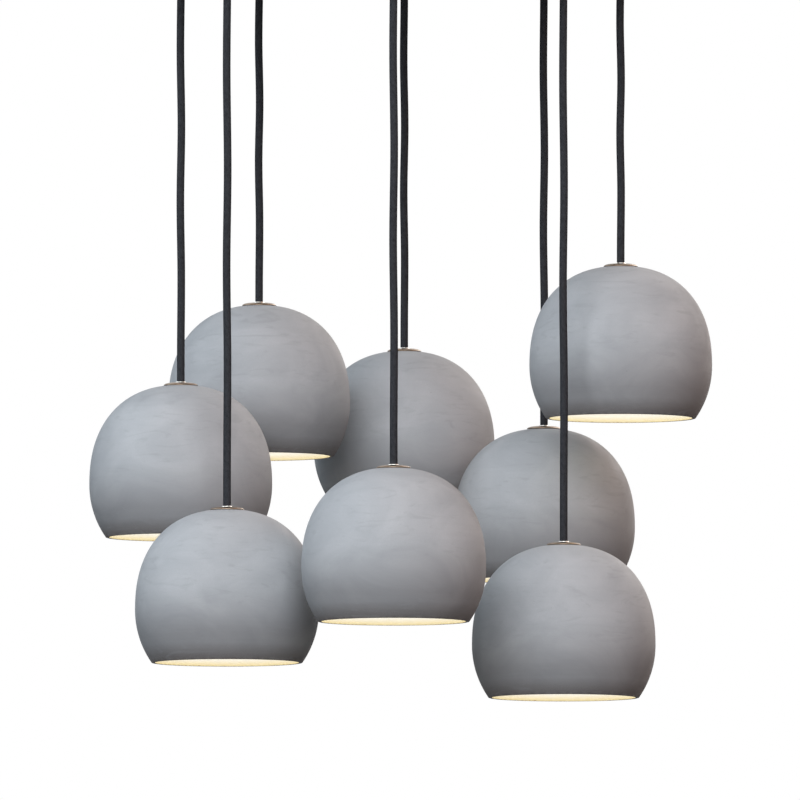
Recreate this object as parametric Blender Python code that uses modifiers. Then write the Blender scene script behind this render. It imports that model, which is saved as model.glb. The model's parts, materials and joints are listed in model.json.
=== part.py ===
"""Cluster chandelier: eight concrete ball shades on fabric cords under one round canopy.

Blender 4.5, metres, +Z up. The origin is the centre of the bracket's ceiling face, and
everything hangs below it. +Y points away from someone who stands in front of the light.
"""
import math

import bmesh
import bpy
from mathutils import Matrix, Vector

# Concrete shade: a ball a little taller than round above its widest level, open below
SHADE_RADIUS = 0.090
SHADE_CROWN_RISE = 0.0985
SHADE_SKIRT_DROP = 0.0517
SHADE_WALL = 0.005
SHADE_RIM_WIDTH = 0.0035
SHADE_LIP_HEIGHT = 0.006
SHADE_FULLNESS = 2.3
SHADE_OUTSIDE_POINTS = (6, 3)
SHADE_INSIDE_POINTS = (4, 2)
SHADE_SIDES = 24

# Braided cord
CORD_RADIUS = 0.00385
CORD_BORE_CLEARANCE = 0.0006
CORD_SIDES = 8

# Nickel cap on the crown, with a hollow stem that carries shade and lampholder
CAP_RADIUS = 0.0168
CAP_EDGE_HEIGHT = 0.0012
CAP_DOME_HEIGHT = 0.0024
CAP_BOSS_RADIUS = 0.0056
CAP_BOSS_HEIGHT = 0.0012
STEM_RADIUS = 0.0065
STEM_GRIP = 0.0135
STEM_CLEARANCE = 0.0004
CAP_SIDES = 12

# Ceramic lampholder that clamps the shade from inside
HOLDER_FLANGE_RADIUS = 0.015
HOLDER_FLANGE_HEIGHT = 0.0025
HOLDER_RADIUS = 0.0122
HOLDER_WEB = 0.004
HOLDER_SIDES = 12

# Push-in bulb with a frosted envelope
BULB_BASE_RADIUS = 0.0072
BULB_BASE_LENGTH = 0.012
BULB_BASE_CLEARANCE = 0.0005
BULB_RADIUS = 0.0092
BULB_LENGTH = 0.038
BULB_SHOULDER = 0.002

# Round canopy, a steel pan open towards the ceiling
CANOPY_DEPTH = 0.045
CANOPY_SHEET = 0.0015
CANOPY_CORNER = 0.006
CANOPY_MARGIN = 0.026
CANOPY_SIDES = 48
CEILING_GAP = 0.0005

# Cord grip in each port: a bell-mouthed bush that lets its cord swing
SWING_OUT = math.radians(20)
GRIP_WALL = 0.0012
GRIP_DROP = 0.008
GRIP_FLANGE_WIDTH = 0.0042
GRIP_FLANGE_HEIGHT = 0.003
GRIP_SIDES = 12
CORD_STUB = 0.0015

# Ceiling bracket, its two studs and the cover nuts on them
BRACKET_LENGTH = 0.320
BRACKET_WIDTH = 0.040
BRACKET_SHEET = 0.003
SLOT_SPACING = 0.120
SLOT_LENGTH = 0.024
SLOT_WIDTH = 0.0056
STUD_END_MARGIN = 0.030
STUD_RADIUS = 0.003
STUD_SIDES = 12
NUT_RADIUS = 0.008
NUT_HEIGHT = 0.011
NUT_DEPTH = 0.008
EARTH_SCREW_RADIUS = 0.002
EARTH_HEAD_RADIUS = 0.0042
EARTH_HEAD_HEIGHT = 0.0026

# Wiring inside the canopy
LEAD_RADIUS = 0.0025
LEAD_RISE = 0.010
LEAD_BEND_REACH = 0.040
LEAD_STUD_CLEARANCE = 0.002
SPLICE_OFFSET = 0.062
SPLICE_RADIUS = 0.016
SPLICE_HEIGHT = 0.016
SPLICE_SIDES = 24
TERMINAL_LENGTH = 0.046
TERMINAL_WIDTH = 0.018
TERMINAL_HEIGHT = 0.016
TERMINAL_POLES = 3
TERMINAL_WELL_RADIUS = 0.0026
TERMINAL_WELL_DEPTH = 0.005
TERMINAL_ENTRY_RADIUS = 0.0021
TERMINAL_ENTRY_DEPTH = 0.006

# Fits shared by all the pieces
SEAT_GAP = 0.0003
HOLE_CLEARANCE = 0.0004
EDGE_BEVEL = 0.0008
OVERRUN = 0.002
WELD = 0.00001

# The cluster. The ports spread as wide as the balls need, and the longest pendant, whose rim
# ends the light at its overall height, sets the drops of the others.
OVERALL_HEIGHT = 0.7945
CLUSTER_REACH_SHARE = 3.044
CLUSTER_REACH = CLUSTER_REACH_SHARE * SHADE_RADIUS
LONGEST_DROP = OVERALL_HEIGHT - SHADE_CROWN_RISE - SHADE_SKIRT_DROP
# For each pendant: its port across and back as shares of the reach, and its crown's drop
PENDANT_SHARES = (
    (-0.512, 0.518, 0.6087),
    (-0.790, -0.077, 0.7473),
    (-0.620, -0.617, 0.9506),
    (0.013, 0.996, 0.6665),
    (-0.025, -0.996, 0.8965),
    (0.518, 0.485, 0.7996),
    (0.791, -0.033, 0.5640),
    (0.583, -0.442, 1.0),
)
# A hanging cord is never quite straight: way down, and sideways as a share of its diameter
CORD_WAVE_SHARES = (
    (0.0, 0.0), (0.10, 0.0), (0.24, -0.07), (0.40, 0.06), (0.56, -0.07), (0.72, 0.05), (0.88, 0.0),
    (1.0, 0.0),
)
# A lead's way out of its grip: inwards as shares of the bend's reach, up as shares of its rise
LEAD_BEND_SHARES = ((0.0, 0.45), (0.08, 0.85), (0.28, 1.0), (0.60, 0.72), (0.95, 0.22), (1.4, 0.0))
# Where the lead to the terminal block leaves the splice and where the block lies, in its lengths
TERMINAL_SIDE_SHARE = -0.78
TERMINAL_BACK_SHARE = 1.26
TERMINAL_ENTRY_SHARE = -0.52

# Worked out from the sizes above
CANOPY_RADIUS = CLUSTER_REACH + CANOPY_MARGIN
PLATE_UNDERSIDE = -CANOPY_DEPTH
PLATE_TOP = PLATE_UNDERSIDE + CANOPY_SHEET
PIVOT_LEVEL = PLATE_UNDERSIDE
THROAT_RADIUS = CORD_RADIUS + CORD_BORE_CLEARANCE
MOUTH_RADIUS = CORD_RADIUS / math.cos(SWING_OUT) + GRIP_DROP * math.tan(SWING_OUT) + CORD_BORE_CLEARANCE
GRIP_RADIUS = MOUTH_RADIUS + GRIP_WALL
GRIP_FLANGE_BASE = CANOPY_SHEET + SEAT_GAP
GRIP_TOP = GRIP_FLANGE_BASE + GRIP_FLANGE_HEIGHT
LEAD_START = CORD_STUB + 2 * CORD_RADIUS * math.sin(SWING_OUT)
LEAD_LIE = PLATE_TOP + LEAD_RADIUS + SEAT_GAP
STUD_SPACING = BRACKET_LENGTH - 2 * STUD_END_MARGIN
NUT_SEAT = PLATE_UNDERSIDE - SEAT_GAP
NUT_FLOOR = NUT_SEAT - NUT_DEPTH

NICKEL = ("satin_nickel", (0.62, 0.56, 0.48, 1.0), 0.28, 1.0)
CONCRETE = ("concrete", (0.42, 0.43, 0.44, 1.0), 0.85, 0.0)
BRAID = ("black_braid", (0.03, 0.03, 0.032, 1.0), 0.8, 0.0)
CERAMIC = ("white_ceramic", (0.85, 0.84, 0.80, 1.0), 0.35, 0.0)
FROSTED = ("frosted_bulb", (1.0, 0.90, 0.68, 1.0), 0.4, 0.0)
NYLON = ("black_nylon", (0.035, 0.035, 0.037, 1.0), 0.45, 0.0)
ZINC = ("zinc_steel", (0.60, 0.61, 0.62, 1.0), 0.4, 1.0)
BRASS = ("earth_brass", (0.72, 0.55, 0.25, 1.0), 0.35, 1.0)


def clear_scene():
    for item in list(bpy.data.objects):
        bpy.data.objects.remove(item, do_unlink=True)


def new_collection(name):
    collection = bpy.data.collections.new(name)
    bpy.context.scene.collection.children.link(collection)
    return collection


def material_of(finish):
    name, colour, roughness, metallic = finish
    material = bpy.data.materials.get(name)
    if material is None:
        material = bpy.data.materials.new(name)
        material.use_nodes = True
        shader = material.node_tree.nodes["Principled BSDF"]
        shader.inputs["Base Color"].default_value = colour
        shader.inputs["Roughness"].default_value = roughness
        shader.inputs["Metallic"].default_value = metallic
        material.diffuse_color = colour
    return material


def place(name, data, finish, location=(0, 0, 0), parent=None):
    """Put one named piece in the model, at a place given from its parent."""
    piece = bpy.data.objects.new(name, data)
    if not data.materials:
        data.materials.append(material_of(finish))
    parts.objects.link(piece)
    piece.location = location
    piece.parent = parent
    return piece


def plain_mesh(item):
    """The mesh that an object's modifiers or bevel make, with loose caps welded."""
    item.update_tag()
    depsgraph = bpy.context.evaluated_depsgraph_get()
    mesh = bpy.data.meshes.new_from_object(item.evaluated_get(depsgraph))
    work = bmesh.new()
    work.from_mesh(mesh)
    bmesh.ops.remove_doubles(work, verts=work.verts, dist=WELD)
    work.to_mesh(mesh)
    work.free()
    bpy.data.objects.remove(item, do_unlink=True)
    return mesh


def round_shading(mesh, crease=math.radians(32)):
    mesh.shade_smooth()
    mesh.set_sharp_from_angle(angle=crease)
    return mesh


def turned(name, profile, sides, hollow=False):
    """Turn a profile of (radius, height) points, given down its outer side, about Z."""
    count = len(profile)
    edges = [(i, i + 1) for i in range(count - 1)]
    if hollow:
        edges.append((count - 1, 0))
    mesh = bpy.data.meshes.new(name + "_profile")
    mesh.from_pydata([(radius, 0, height) for radius, height in profile], edges, [])
    item = bpy.data.objects.new(name + "_profile", mesh)
    parts.objects.link(item)
    screw = item.modifiers.new("Turn", "SCREW")
    screw.steps = sides
    screw.render_steps = sides
    screw.use_merge_vertices = True
    screw.merge_threshold = WELD
    return round_shading(plain_mesh(item))


def arc(centre_radius, centre_height, radius, start, end, count):
    """Points along a round corner, angles in degrees from +X towards +Z."""
    steps = [math.radians(start + (end - start) * i / (count - 1)) for i in range(count)]
    return [(centre_radius + radius * math.cos(a), centre_height + radius * math.sin(a)) for a in steps]


def drill(name, centres, radius, low, high, sides=24):
    """One hidden cutter with an upright cylinder at each centre."""
    work = bmesh.new()
    for x, y in centres:
        middle = Matrix.Translation((x, y, (low + high) / 2))
        bmesh.ops.create_cone(
            work, cap_ends=True, segments=sides, radius1=radius, radius2=radius, depth=high - low,
            matrix=middle)
    mesh = bpy.data.meshes.new(name)
    work.to_mesh(mesh)
    work.free()
    return hide_cutter(bpy.data.objects.new(name, mesh))


def hide_cutter(item):
    cutters.objects.link(item)
    item.hide_render = True
    item.display_type = "WIRE"
    return item


def cut(piece, cutter, operation="DIFFERENCE"):
    boolean = piece.modifiers.new(cutter.name, "BOOLEAN")
    boolean.operation = operation
    boolean.solver = "EXACT"
    boolean.object = cutter


def box(name, size, centre, bevel):
    """A block with rounded edges, its mesh placed where the block lies."""
    work = bmesh.new()
    where = Matrix.Translation(centre) @ Matrix.Diagonal((*size, 1))
    bmesh.ops.create_cube(work, size=1, matrix=where)
    bmesh.ops.bevel(work, geom=work.edges[:], offset=bevel, segments=2, affect="EDGES", profile=0.5)
    mesh = bpy.data.meshes.new(name)
    work.to_mesh(mesh)
    work.free()
    return mesh


def tube_curve(name, routes, radius):
    curve = bpy.data.curves.new(name, "CURVE")
    curve.dimensions = "3D"
    curve.bevel_depth = radius
    curve.bevel_resolution = CORD_SIDES // 2 - 2
    curve.use_fill_caps = True
    for route in routes:
        spline = curve.splines.new("POLY")
        spline.points.add(len(route) - 1)
        for point, place_on in zip(spline.points, route):
            point.co = (*place_on, 1)
    return curve


def ball_height(radius, widest, rise):
    """Height above the widest level at a radius of the upper half."""
    return rise * (1 - (radius / widest) ** SHADE_FULLNESS) ** (1 / SHADE_FULLNESS)


def ball_side(seat_radius, widest, rise, last_drop, counts):
    """Points from a flat seat at the crown, over the widest level, down the skirt."""
    crown_points, skirt_points = counts
    first = math.asin((seat_radius / widest) ** (SHADE_FULLNESS / 2))
    power = 2 / SHADE_FULLNESS
    points = []
    for i in range(crown_points):
        turn = first + (math.pi / 2 - first) * i / (crown_points - 1)
        across = widest * math.sin(turn) ** power
        up = rise * max(math.cos(turn), 0) ** power
        points.append((across, up - SHADE_CROWN_RISE))
    last = math.asin(last_drop / widest)
    for i in range(1, skirt_points + 1):
        turn = last * i / skirt_points
        points.append((widest * math.cos(turn), -widest * math.sin(turn) - SHADE_CROWN_RISE))
    return points


# Levels inside a pendant, measured down from its crown
INNER_RADIUS = SHADE_RADIUS - SHADE_WALL
INNER_RISE = SHADE_CROWN_RISE - SHADE_WALL
CROWN_HOLE_RADIUS = STEM_RADIUS + STEM_CLEARANCE
SEAT_RADIUS = CAP_RADIUS + HOLE_CLEARANCE
INNER_SEAT_RADIUS = HOLDER_FLANGE_RADIUS + HOLE_CLEARANCE
SEAT_LEVEL = ball_height(SEAT_RADIUS, SHADE_RADIUS, SHADE_CROWN_RISE) - SHADE_CROWN_RISE
INNER_SEAT_LEVEL = ball_height(INNER_SEAT_RADIUS, INNER_RADIUS, INNER_RISE) - SHADE_CROWN_RISE
CAP_LEVEL = SEAT_LEVEL + SEAT_GAP
HOLDER_TOP = INNER_SEAT_LEVEL - SEAT_GAP
STEM_END = HOLDER_TOP - STEM_GRIP
WEB_TOP = STEM_END - SEAT_GAP
SOCKET_TOP = WEB_TOP - HOLDER_WEB
HOLDER_END = SOCKET_TOP - BULB_BASE_LENGTH - SEAT_GAP


def shade_profile():
    lip_drop = SHADE_SKIRT_DROP - SHADE_LIP_HEIGHT
    outer = ball_side(SEAT_RADIUS, SHADE_RADIUS, SHADE_CROWN_RISE, SHADE_SKIRT_DROP, SHADE_OUTSIDE_POINTS)
    inner = ball_side(INNER_SEAT_RADIUS, INNER_RADIUS, INNER_RISE, lip_drop, SHADE_INSIDE_POINTS)
    rim_radius, rim_level = outer[-1]
    lip = [(rim_radius - SHADE_RIM_WIDTH, rim_level)]
    crown = [(CROWN_HOLE_RADIUS, SEAT_LEVEL)]
    ceiling = [(CROWN_HOLE_RADIUS, INNER_SEAT_LEVEL)]
    return crown + outer + lip + inner[::-1] + ceiling


def cap_profile():
    """Boss, shallow dome and edge, then the stem down to the lampholder."""
    edge = CAP_LEVEL + CAP_EDGE_HEIGHT
    boss_foot = edge + CAP_DOME_HEIGHT
    boss_top = boss_foot + CAP_BOSS_HEIGHT
    dome = []
    for share in (0.0, 0.45, 0.8, 1.0):
        across = CAP_BOSS_RADIUS + (CAP_RADIUS - CAP_BOSS_RADIUS) * share
        dome.append((across, edge + CAP_DOME_HEIGHT * (1 - share ** 2)))
    bore = THROAT_RADIUS
    head = [(bore, boss_top), (CAP_BOSS_RADIUS, boss_top)]
    foot = [(CAP_RADIUS, CAP_LEVEL), (STEM_RADIUS, CAP_LEVEL), (STEM_RADIUS, STEM_END), (bore, STEM_END)]
    return head + dome + foot


def lampholder_profile():
    flange_foot = HOLDER_TOP - HOLDER_FLANGE_HEIGHT
    stem_bore = STEM_RADIUS + STEM_CLEARANCE
    socket_bore = BULB_BASE_RADIUS + BULB_BASE_CLEARANCE
    wire_bore = LEAD_RADIUS
    return [
        (stem_bore, HOLDER_TOP), (HOLDER_FLANGE_RADIUS, HOLDER_TOP),
        (HOLDER_FLANGE_RADIUS, flange_foot), (HOLDER_RADIUS, flange_foot - HOLDER_FLANGE_HEIGHT),
        (HOLDER_RADIUS, HOLDER_END), (socket_bore, HOLDER_END), (socket_bore, SOCKET_TOP),
        (wire_bore, SOCKET_TOP), (wire_bore, WEB_TOP), (stem_bore, WEB_TOP),
    ]


def bulb_profile():
    base_top = SOCKET_TOP - SEAT_GAP
    shoulder = HOLDER_END - SEAT_GAP
    dome_level = shoulder - BULB_LENGTH + BULB_RADIUS
    tip = arc(0, dome_level, BULB_RADIUS, 0, -90, 5)
    head = [(0, base_top), (BULB_BASE_RADIUS, base_top), (BULB_BASE_RADIUS, shoulder)]
    return head + [(BULB_RADIUS, shoulder - BULB_SHOULDER)] + tip[:-1] + [(0, shoulder - BULB_LENGTH)]


def grip_profile():
    """Heights are measured from the pivot, which lies level with the plate's underside."""
    return [
        (THROAT_RADIUS, GRIP_TOP), (GRIP_RADIUS + GRIP_FLANGE_WIDTH, GRIP_TOP),
        (GRIP_RADIUS + GRIP_FLANGE_WIDTH, GRIP_FLANGE_BASE), (GRIP_RADIUS, GRIP_FLANGE_BASE),
        (GRIP_RADIUS, -GRIP_DROP), (MOUTH_RADIUS, -GRIP_DROP), (THROAT_RADIUS, 0),
    ]


def canopy_profile():
    """The pan's section: across its inside, up the inner wall, down the outer one and back."""
    inner_corner = CANOPY_CORNER - CANOPY_SHEET
    centre = (CANOPY_RADIUS - CANOPY_CORNER, PLATE_UNDERSIDE + CANOPY_CORNER)
    inner = arc(*centre, inner_corner, -90, 0, 4)
    outer = arc(*centre, CANOPY_CORNER, 0, -90, 4)
    rim = [(CANOPY_RADIUS - CANOPY_SHEET, -CEILING_GAP), (CANOPY_RADIUS, -CEILING_GAP)]
    return [(0, PLATE_TOP)] + inner + rim + outer + [(0, PLATE_UNDERSIDE)]


def nut_profile():
    """Closed bore up the middle, flange face on the cover, and a domed end."""
    bore = STUD_RADIUS + HOLE_CLEARANCE
    tip = NUT_SEAT - NUT_HEIGHT
    return [
        (0, NUT_FLOOR), (bore, NUT_FLOOR), (bore, NUT_SEAT), (NUT_RADIUS, NUT_SEAT),
        (NUT_RADIUS, NUT_FLOOR), (NUT_RADIUS / 2, tip), (0, tip),
    ]


def post_profile(radius, top, bottom):
    return [(0, top), (radius, top), (radius, bottom), (0, bottom)]


def earth_screw_profile():
    """Shank up through the bracket, head under it."""
    head_top = -BRACKET_SHEET - SEAT_GAP
    head_foot = head_top - EARTH_HEAD_HEIGHT
    return [
        (0, -CEILING_GAP), (EARTH_SCREW_RADIUS, -CEILING_GAP), (EARTH_SCREW_RADIUS, head_top),
        (EARTH_HEAD_RADIUS, head_top), (EARTH_HEAD_RADIUS, head_foot + EDGE_BEVEL),
        (EARTH_HEAD_RADIUS - EDGE_BEVEL, head_foot), (0, head_foot),
    ]


def pendant_places():
    """Each pendant's port in the canopy, and how far its crown hangs below the ceiling."""
    for number, (across, back, drop) in enumerate(PENDANT_SHARES, start=1):
        yield number, Vector((across * CLUSTER_REACH, back * CLUSTER_REACH, 0)), drop * LONGEST_DROP


def cord_route(length):
    """Points down from the cord's end in the grip, in the pivot's own frame."""
    sideways = 2 * CORD_RADIUS
    return [(wave * sideways, 0, CORD_STUB - way * length) for way, wave in CORD_WAVE_SHARES]


def make_pendants():
    """Cords, caps, shades, lampholders and bulbs, each on an empty at its joint's axis."""
    cap = turned("cap", cap_profile(), CAP_SIDES, hollow=True)
    shade = turned("shade", shade_profile(), SHADE_SIDES, hollow=True)
    lampholder = turned("lampholder", lampholder_profile(), HOLDER_SIDES, hollow=True)
    bulb = turned("bulb", bulb_profile(), HOLDER_SIDES)
    for number, port, drop in pendant_places():
        pivot = bpy.data.objects.new(f"swing_{number}", None)
        pivot.location = port + Vector((0, 0, PIVOT_LEVEL))
        parts.objects.link(pivot)
        crown = (0, 0, -drop - PIVOT_LEVEL)
        length = CORD_STUB + drop + PIVOT_LEVEL - STEM_END
        cord = tube_curve(f"cord_{number}", [cord_route(length)], CORD_RADIUS)
        place(f"cord_{number}", cord, BRAID, parent=pivot)
        place(f"cap_{number}", cap, NICKEL, crown, pivot)
        place(f"shade_{number}", shade, CONCRETE, crown, pivot)
        place(f"lampholder_{number}", lampholder, CERAMIC, crown, pivot)
        place(f"bulb_{number}", bulb, FROSTED, crown, pivot)


def make_grips():
    grip = turned("cord_grip", grip_profile(), GRIP_SIDES, hollow=True)
    for number, port, _ in pendant_places():
        place(f"cord_grip_{number}", grip, NYLON, port + Vector((0, 0, PIVOT_LEVEL)))


def stud_places():
    return [(side * STUD_SPACING / 2, 0) for side in (-1, 1)]


def make_canopy():
    """The pan, with a port for each pendant and a hole for each stud."""
    canopy = place("canopy_cover", turned("canopy_cover", canopy_profile(), CANOPY_SIDES), NICKEL)
    low = PLATE_UNDERSIDE - OVERRUN
    high = PLATE_TOP + OVERRUN
    ports = [port.to_2d() for _, port, _ in pendant_places()]
    cut(canopy, drill("ports", ports, GRIP_RADIUS + HOLE_CLEARANCE, low, high))
    cut(canopy, drill("stud_holes", stud_places(), STUD_RADIUS + HOLE_CLEARANCE, low, high, STUD_SIDES))


def slot_cutter():
    """Two long slots for the ceiling screws: a block with a round end at either side."""
    work = bmesh.new()
    depth = BRACKET_SHEET + 2 * OVERRUN
    straight = SLOT_LENGTH - SLOT_WIDTH
    for side in (-1, 1):
        middle = Matrix.Translation((side * SLOT_SPACING / 2, 0, -BRACKET_SHEET / 2))
        made = bmesh.ops.create_cone(
            work, cap_ends=True, segments=STUD_SIDES, radius1=SLOT_WIDTH / 2, radius2=SLOT_WIDTH / 2,
            depth=depth, matrix=middle)
        for vertex in made["verts"]:
            offset = vertex.co.x - side * SLOT_SPACING / 2
            vertex.co.x += math.copysign(straight / 2, offset)
    mesh = bpy.data.meshes.new("slots")
    work.to_mesh(mesh)
    work.free()
    return hide_cutter(bpy.data.objects.new("slots", mesh))


def make_bracket():
    """The strap on the ceiling, the studs under it, and the nuts that hold the cover up."""
    size = (BRACKET_LENGTH, BRACKET_WIDTH, BRACKET_SHEET)
    strap = box("ceiling_bracket", size, (0, 0, -BRACKET_SHEET / 2), EDGE_BEVEL)
    bracket = place("ceiling_bracket", strap, ZINC)
    cut(bracket, slot_cutter())
    earth_place = (BRACKET_LENGTH / 2 - BRACKET_WIDTH / 2, BRACKET_WIDTH / 4)
    hole = EARTH_SCREW_RADIUS + HOLE_CLEARANCE
    cut(bracket, drill("earth_hole", [earth_place], hole, -BRACKET_SHEET - OVERRUN, OVERRUN, STUD_SIDES))
    earth = turned("earth_screw", earth_screw_profile(), STUD_SIDES)
    place("earth_screw", earth, BRASS, (*earth_place, 0))
    post = post_profile(STUD_RADIUS, -BRACKET_SHEET - SEAT_GAP, NUT_FLOOR + SEAT_GAP)
    stud = turned("cover_stud", post, STUD_SIDES)
    nut = turned("cover_nut", nut_profile(), STUD_SIDES)
    for number, centre in enumerate(stud_places(), start=1):
        place(f"cover_stud_{number}", stud, ZINC, (*centre, 0))
        place(f"cover_nut_{number}", nut, NICKEL, (*centre, 0))


def stud_turns(port, splice):
    """Places beside the studs where a lead has to turn, or else it would touch them."""
    along = (splice - port).normalized()
    side = Vector((-along.y, along.x, 0))
    room = STUD_RADIUS + LEAD_RADIUS + LEAD_STUD_CLEARANCE
    turns = []
    for x, y in stud_places():
        stud = Vector((x, y, 0))
        offset = (port - stud).dot(side)
        ahead = (stud - port).dot(along)
        if abs(offset) < room and 0 < ahead < (splice - port).length:
            turns.append(stud + side * math.copysign(room, offset))
    return turns


def lead_route(port):
    """From inside the grip, up, over and down to the plate, then along it into the splice."""
    splice = Vector((0, SPLICE_OFFSET, 0))
    turns = stud_turns(port, splice)
    way = [port, *turns, splice]
    inwards = (way[1] - port).normalized()
    route = [port + Vector((0, 0, PIVOT_LEVEL + LEAD_START))]
    for reach, rise in LEAD_BEND_SHARES:
        level = LEAD_LIE + LEAD_RISE * rise
        route.append(port + inwards * (LEAD_BEND_REACH * reach) + Vector((0, 0, level)))
    end = splice - (splice - way[-2]).normalized() * (SPLICE_RADIUS / 2)
    return route + [place_on + Vector((0, 0, LEAD_LIE)) for place_on in [*turns, end]]


def terminal_centre():
    across = TERMINAL_SIDE_SHARE * TERMINAL_LENGTH
    back = SPLICE_OFFSET + TERMINAL_BACK_SHARE * TERMINAL_LENGTH
    return Vector((across, back, PLATE_TOP + SEAT_GAP + TERMINAL_HEIGHT / 2))


def supply_route():
    """The short lead from the splice to the terminal block."""
    entry = TERMINAL_ENTRY_SHARE * TERMINAL_LENGTH
    end = terminal_centre().y - TERMINAL_WIDTH / 2 - SEAT_GAP
    start = Vector((entry / 4, SPLICE_OFFSET + SPLICE_RADIUS / 2, LEAD_LIE))
    bend = Vector((entry, end - SPLICE_RADIUS, LEAD_LIE))
    return [start, bend, Vector((entry, end, LEAD_LIE))]


def make_loom():
    """The pendants' leads, gathered in one moulded splice near the middle of the canopy."""
    routes = [lead_route(port) for _, port, _ in pendant_places()] + [supply_route()]
    tubes = bpy.data.objects.new("lead_tubes", tube_curve("lead_tubes", routes, LEAD_RADIUS))
    parts.objects.link(tubes)
    leads = hide_cutter(bpy.data.objects.new("leads", plain_mesh(tubes)))
    foot = PLATE_TOP + SEAT_GAP
    top = foot + SPLICE_HEIGHT
    profile = [
        (0, top), (SPLICE_RADIUS - EDGE_BEVEL, top), (SPLICE_RADIUS, top - EDGE_BEVEL),
        (SPLICE_RADIUS, foot), (0, foot),
    ]
    splice = turned("lead_loom", profile, SPLICE_SIDES)
    splice.transform(Matrix.Translation((0, SPLICE_OFFSET, 0)))
    loom = place("lead_loom", splice, NYLON)
    cut(loom, leads, "UNION")


def make_terminal_block():
    """A moulded block with a screw well and two wire entries for each pole."""
    centre = terminal_centre()
    block = box("terminal_block", (TERMINAL_LENGTH, TERMINAL_WIDTH, TERMINAL_HEIGHT), centre, EDGE_BEVEL)
    terminal = place("terminal_block", block, CERAMIC)
    pitch = TERMINAL_LENGTH / TERMINAL_POLES
    poles = [centre.x + pitch * (i - (TERMINAL_POLES - 1) / 2) for i in range(TERMINAL_POLES)]
    top = centre.z + TERMINAL_HEIGHT / 2
    wells = [(x, centre.y) for x in poles]
    wells_low = top - TERMINAL_WELL_DEPTH
    cut(terminal, drill("wells", wells, TERMINAL_WELL_RADIUS, wells_low, top + OVERRUN, STUD_SIDES))
    work = bmesh.new()
    length = TERMINAL_ENTRY_DEPTH + OVERRUN
    middle = centre.y + TERMINAL_WIDTH / 2 - TERMINAL_ENTRY_DEPTH + length / 2
    level = PLATE_TOP + SEAT_GAP + TERMINAL_HEIGHT / 3
    for x in poles:
        where = Matrix.Translation((x, middle, level)) @ Matrix.Rotation(math.pi / 2, 4, "X")
        bmesh.ops.create_cone(
            work, cap_ends=True, segments=STUD_SIDES, radius1=TERMINAL_ENTRY_RADIUS,
            radius2=TERMINAL_ENTRY_RADIUS, depth=length, matrix=where)
    mesh = bpy.data.meshes.new("wire_entries")
    work.to_mesh(mesh)
    work.free()
    cut(terminal, hide_cutter(bpy.data.objects.new("wire_entries", mesh)))


clear_scene()
parts = new_collection("cluster_chandelier")
cutters = new_collection("cutters")
make_canopy()
make_bracket()
make_terminal_block()
make_loom()
make_grips()
make_pendants()
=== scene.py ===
# %% [markdown]
# # A cluster chandelier with eight concrete balls
#
# The light hangs from a round canopy by eight fabric cords. Each cord ends in a nickel cap on a
# ball of cast concrete, open below and lit from inside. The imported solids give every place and
# size here, so each step below only adds the finer shape and the finish that a camera sees.

# %% Load the solids
import json
import math

import bmesh
import bpy
from mathutils import Matrix, Vector


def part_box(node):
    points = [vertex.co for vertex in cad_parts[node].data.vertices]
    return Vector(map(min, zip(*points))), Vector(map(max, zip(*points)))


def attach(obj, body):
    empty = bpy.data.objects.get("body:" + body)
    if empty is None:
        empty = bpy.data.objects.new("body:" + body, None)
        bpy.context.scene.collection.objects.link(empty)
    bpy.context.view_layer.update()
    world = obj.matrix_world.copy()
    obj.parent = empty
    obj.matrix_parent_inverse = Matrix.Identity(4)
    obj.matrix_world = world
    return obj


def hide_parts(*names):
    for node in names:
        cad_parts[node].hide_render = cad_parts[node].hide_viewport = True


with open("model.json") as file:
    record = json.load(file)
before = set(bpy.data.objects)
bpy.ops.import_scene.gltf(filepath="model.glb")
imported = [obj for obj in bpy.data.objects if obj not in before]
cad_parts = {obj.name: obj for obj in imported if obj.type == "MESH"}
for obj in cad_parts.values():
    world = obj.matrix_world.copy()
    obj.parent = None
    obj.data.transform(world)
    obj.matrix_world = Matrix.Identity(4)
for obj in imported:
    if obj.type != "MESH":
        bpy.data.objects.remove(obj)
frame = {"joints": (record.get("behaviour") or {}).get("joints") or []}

scene = bpy.context.scene


def new_item(name, data):
    """An item that holds some data, linked into the scene."""
    item = bpy.data.objects.new(name, data)
    scene.collection.objects.link(item)
    return item


for name in ("Cube", "Light", "Camera"):
    if name in bpy.data.objects:
        bpy.data.objects.remove(bpy.data.objects[name], do_unlink=True)
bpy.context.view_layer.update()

# %% [markdown]
# ## Where each pendant hangs
#
# A pendant swings at its grip in the canopy and turns at its crown, so the two joints of each
# pendant already hold both places. Reading them keeps this script in step with the solids.

# %% Read the pendants' places
PENDANTS = range(1, 9)
joint_places = {joint["name"]: joint.get("pos_m") for joint in frame["joints"]}
PIVOTS = {number: Vector(joint_places[f"swing_{number}"]) for number in PENDANTS}
CROWNS = {number: Vector(joint_places[f"twist_{number}"]) for number in PENDANTS}
for number in PENDANTS:
    print("pendant", number, "crown", [round(value, 4) for value in CROWNS[number]])

# %% [markdown]
# ## The camera
#
# The balls keep the same size all over the picture and their rims show as thin ellipses. So the
# camera stands far away with a long lens, a little below the balls, and looks slightly up.

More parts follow.
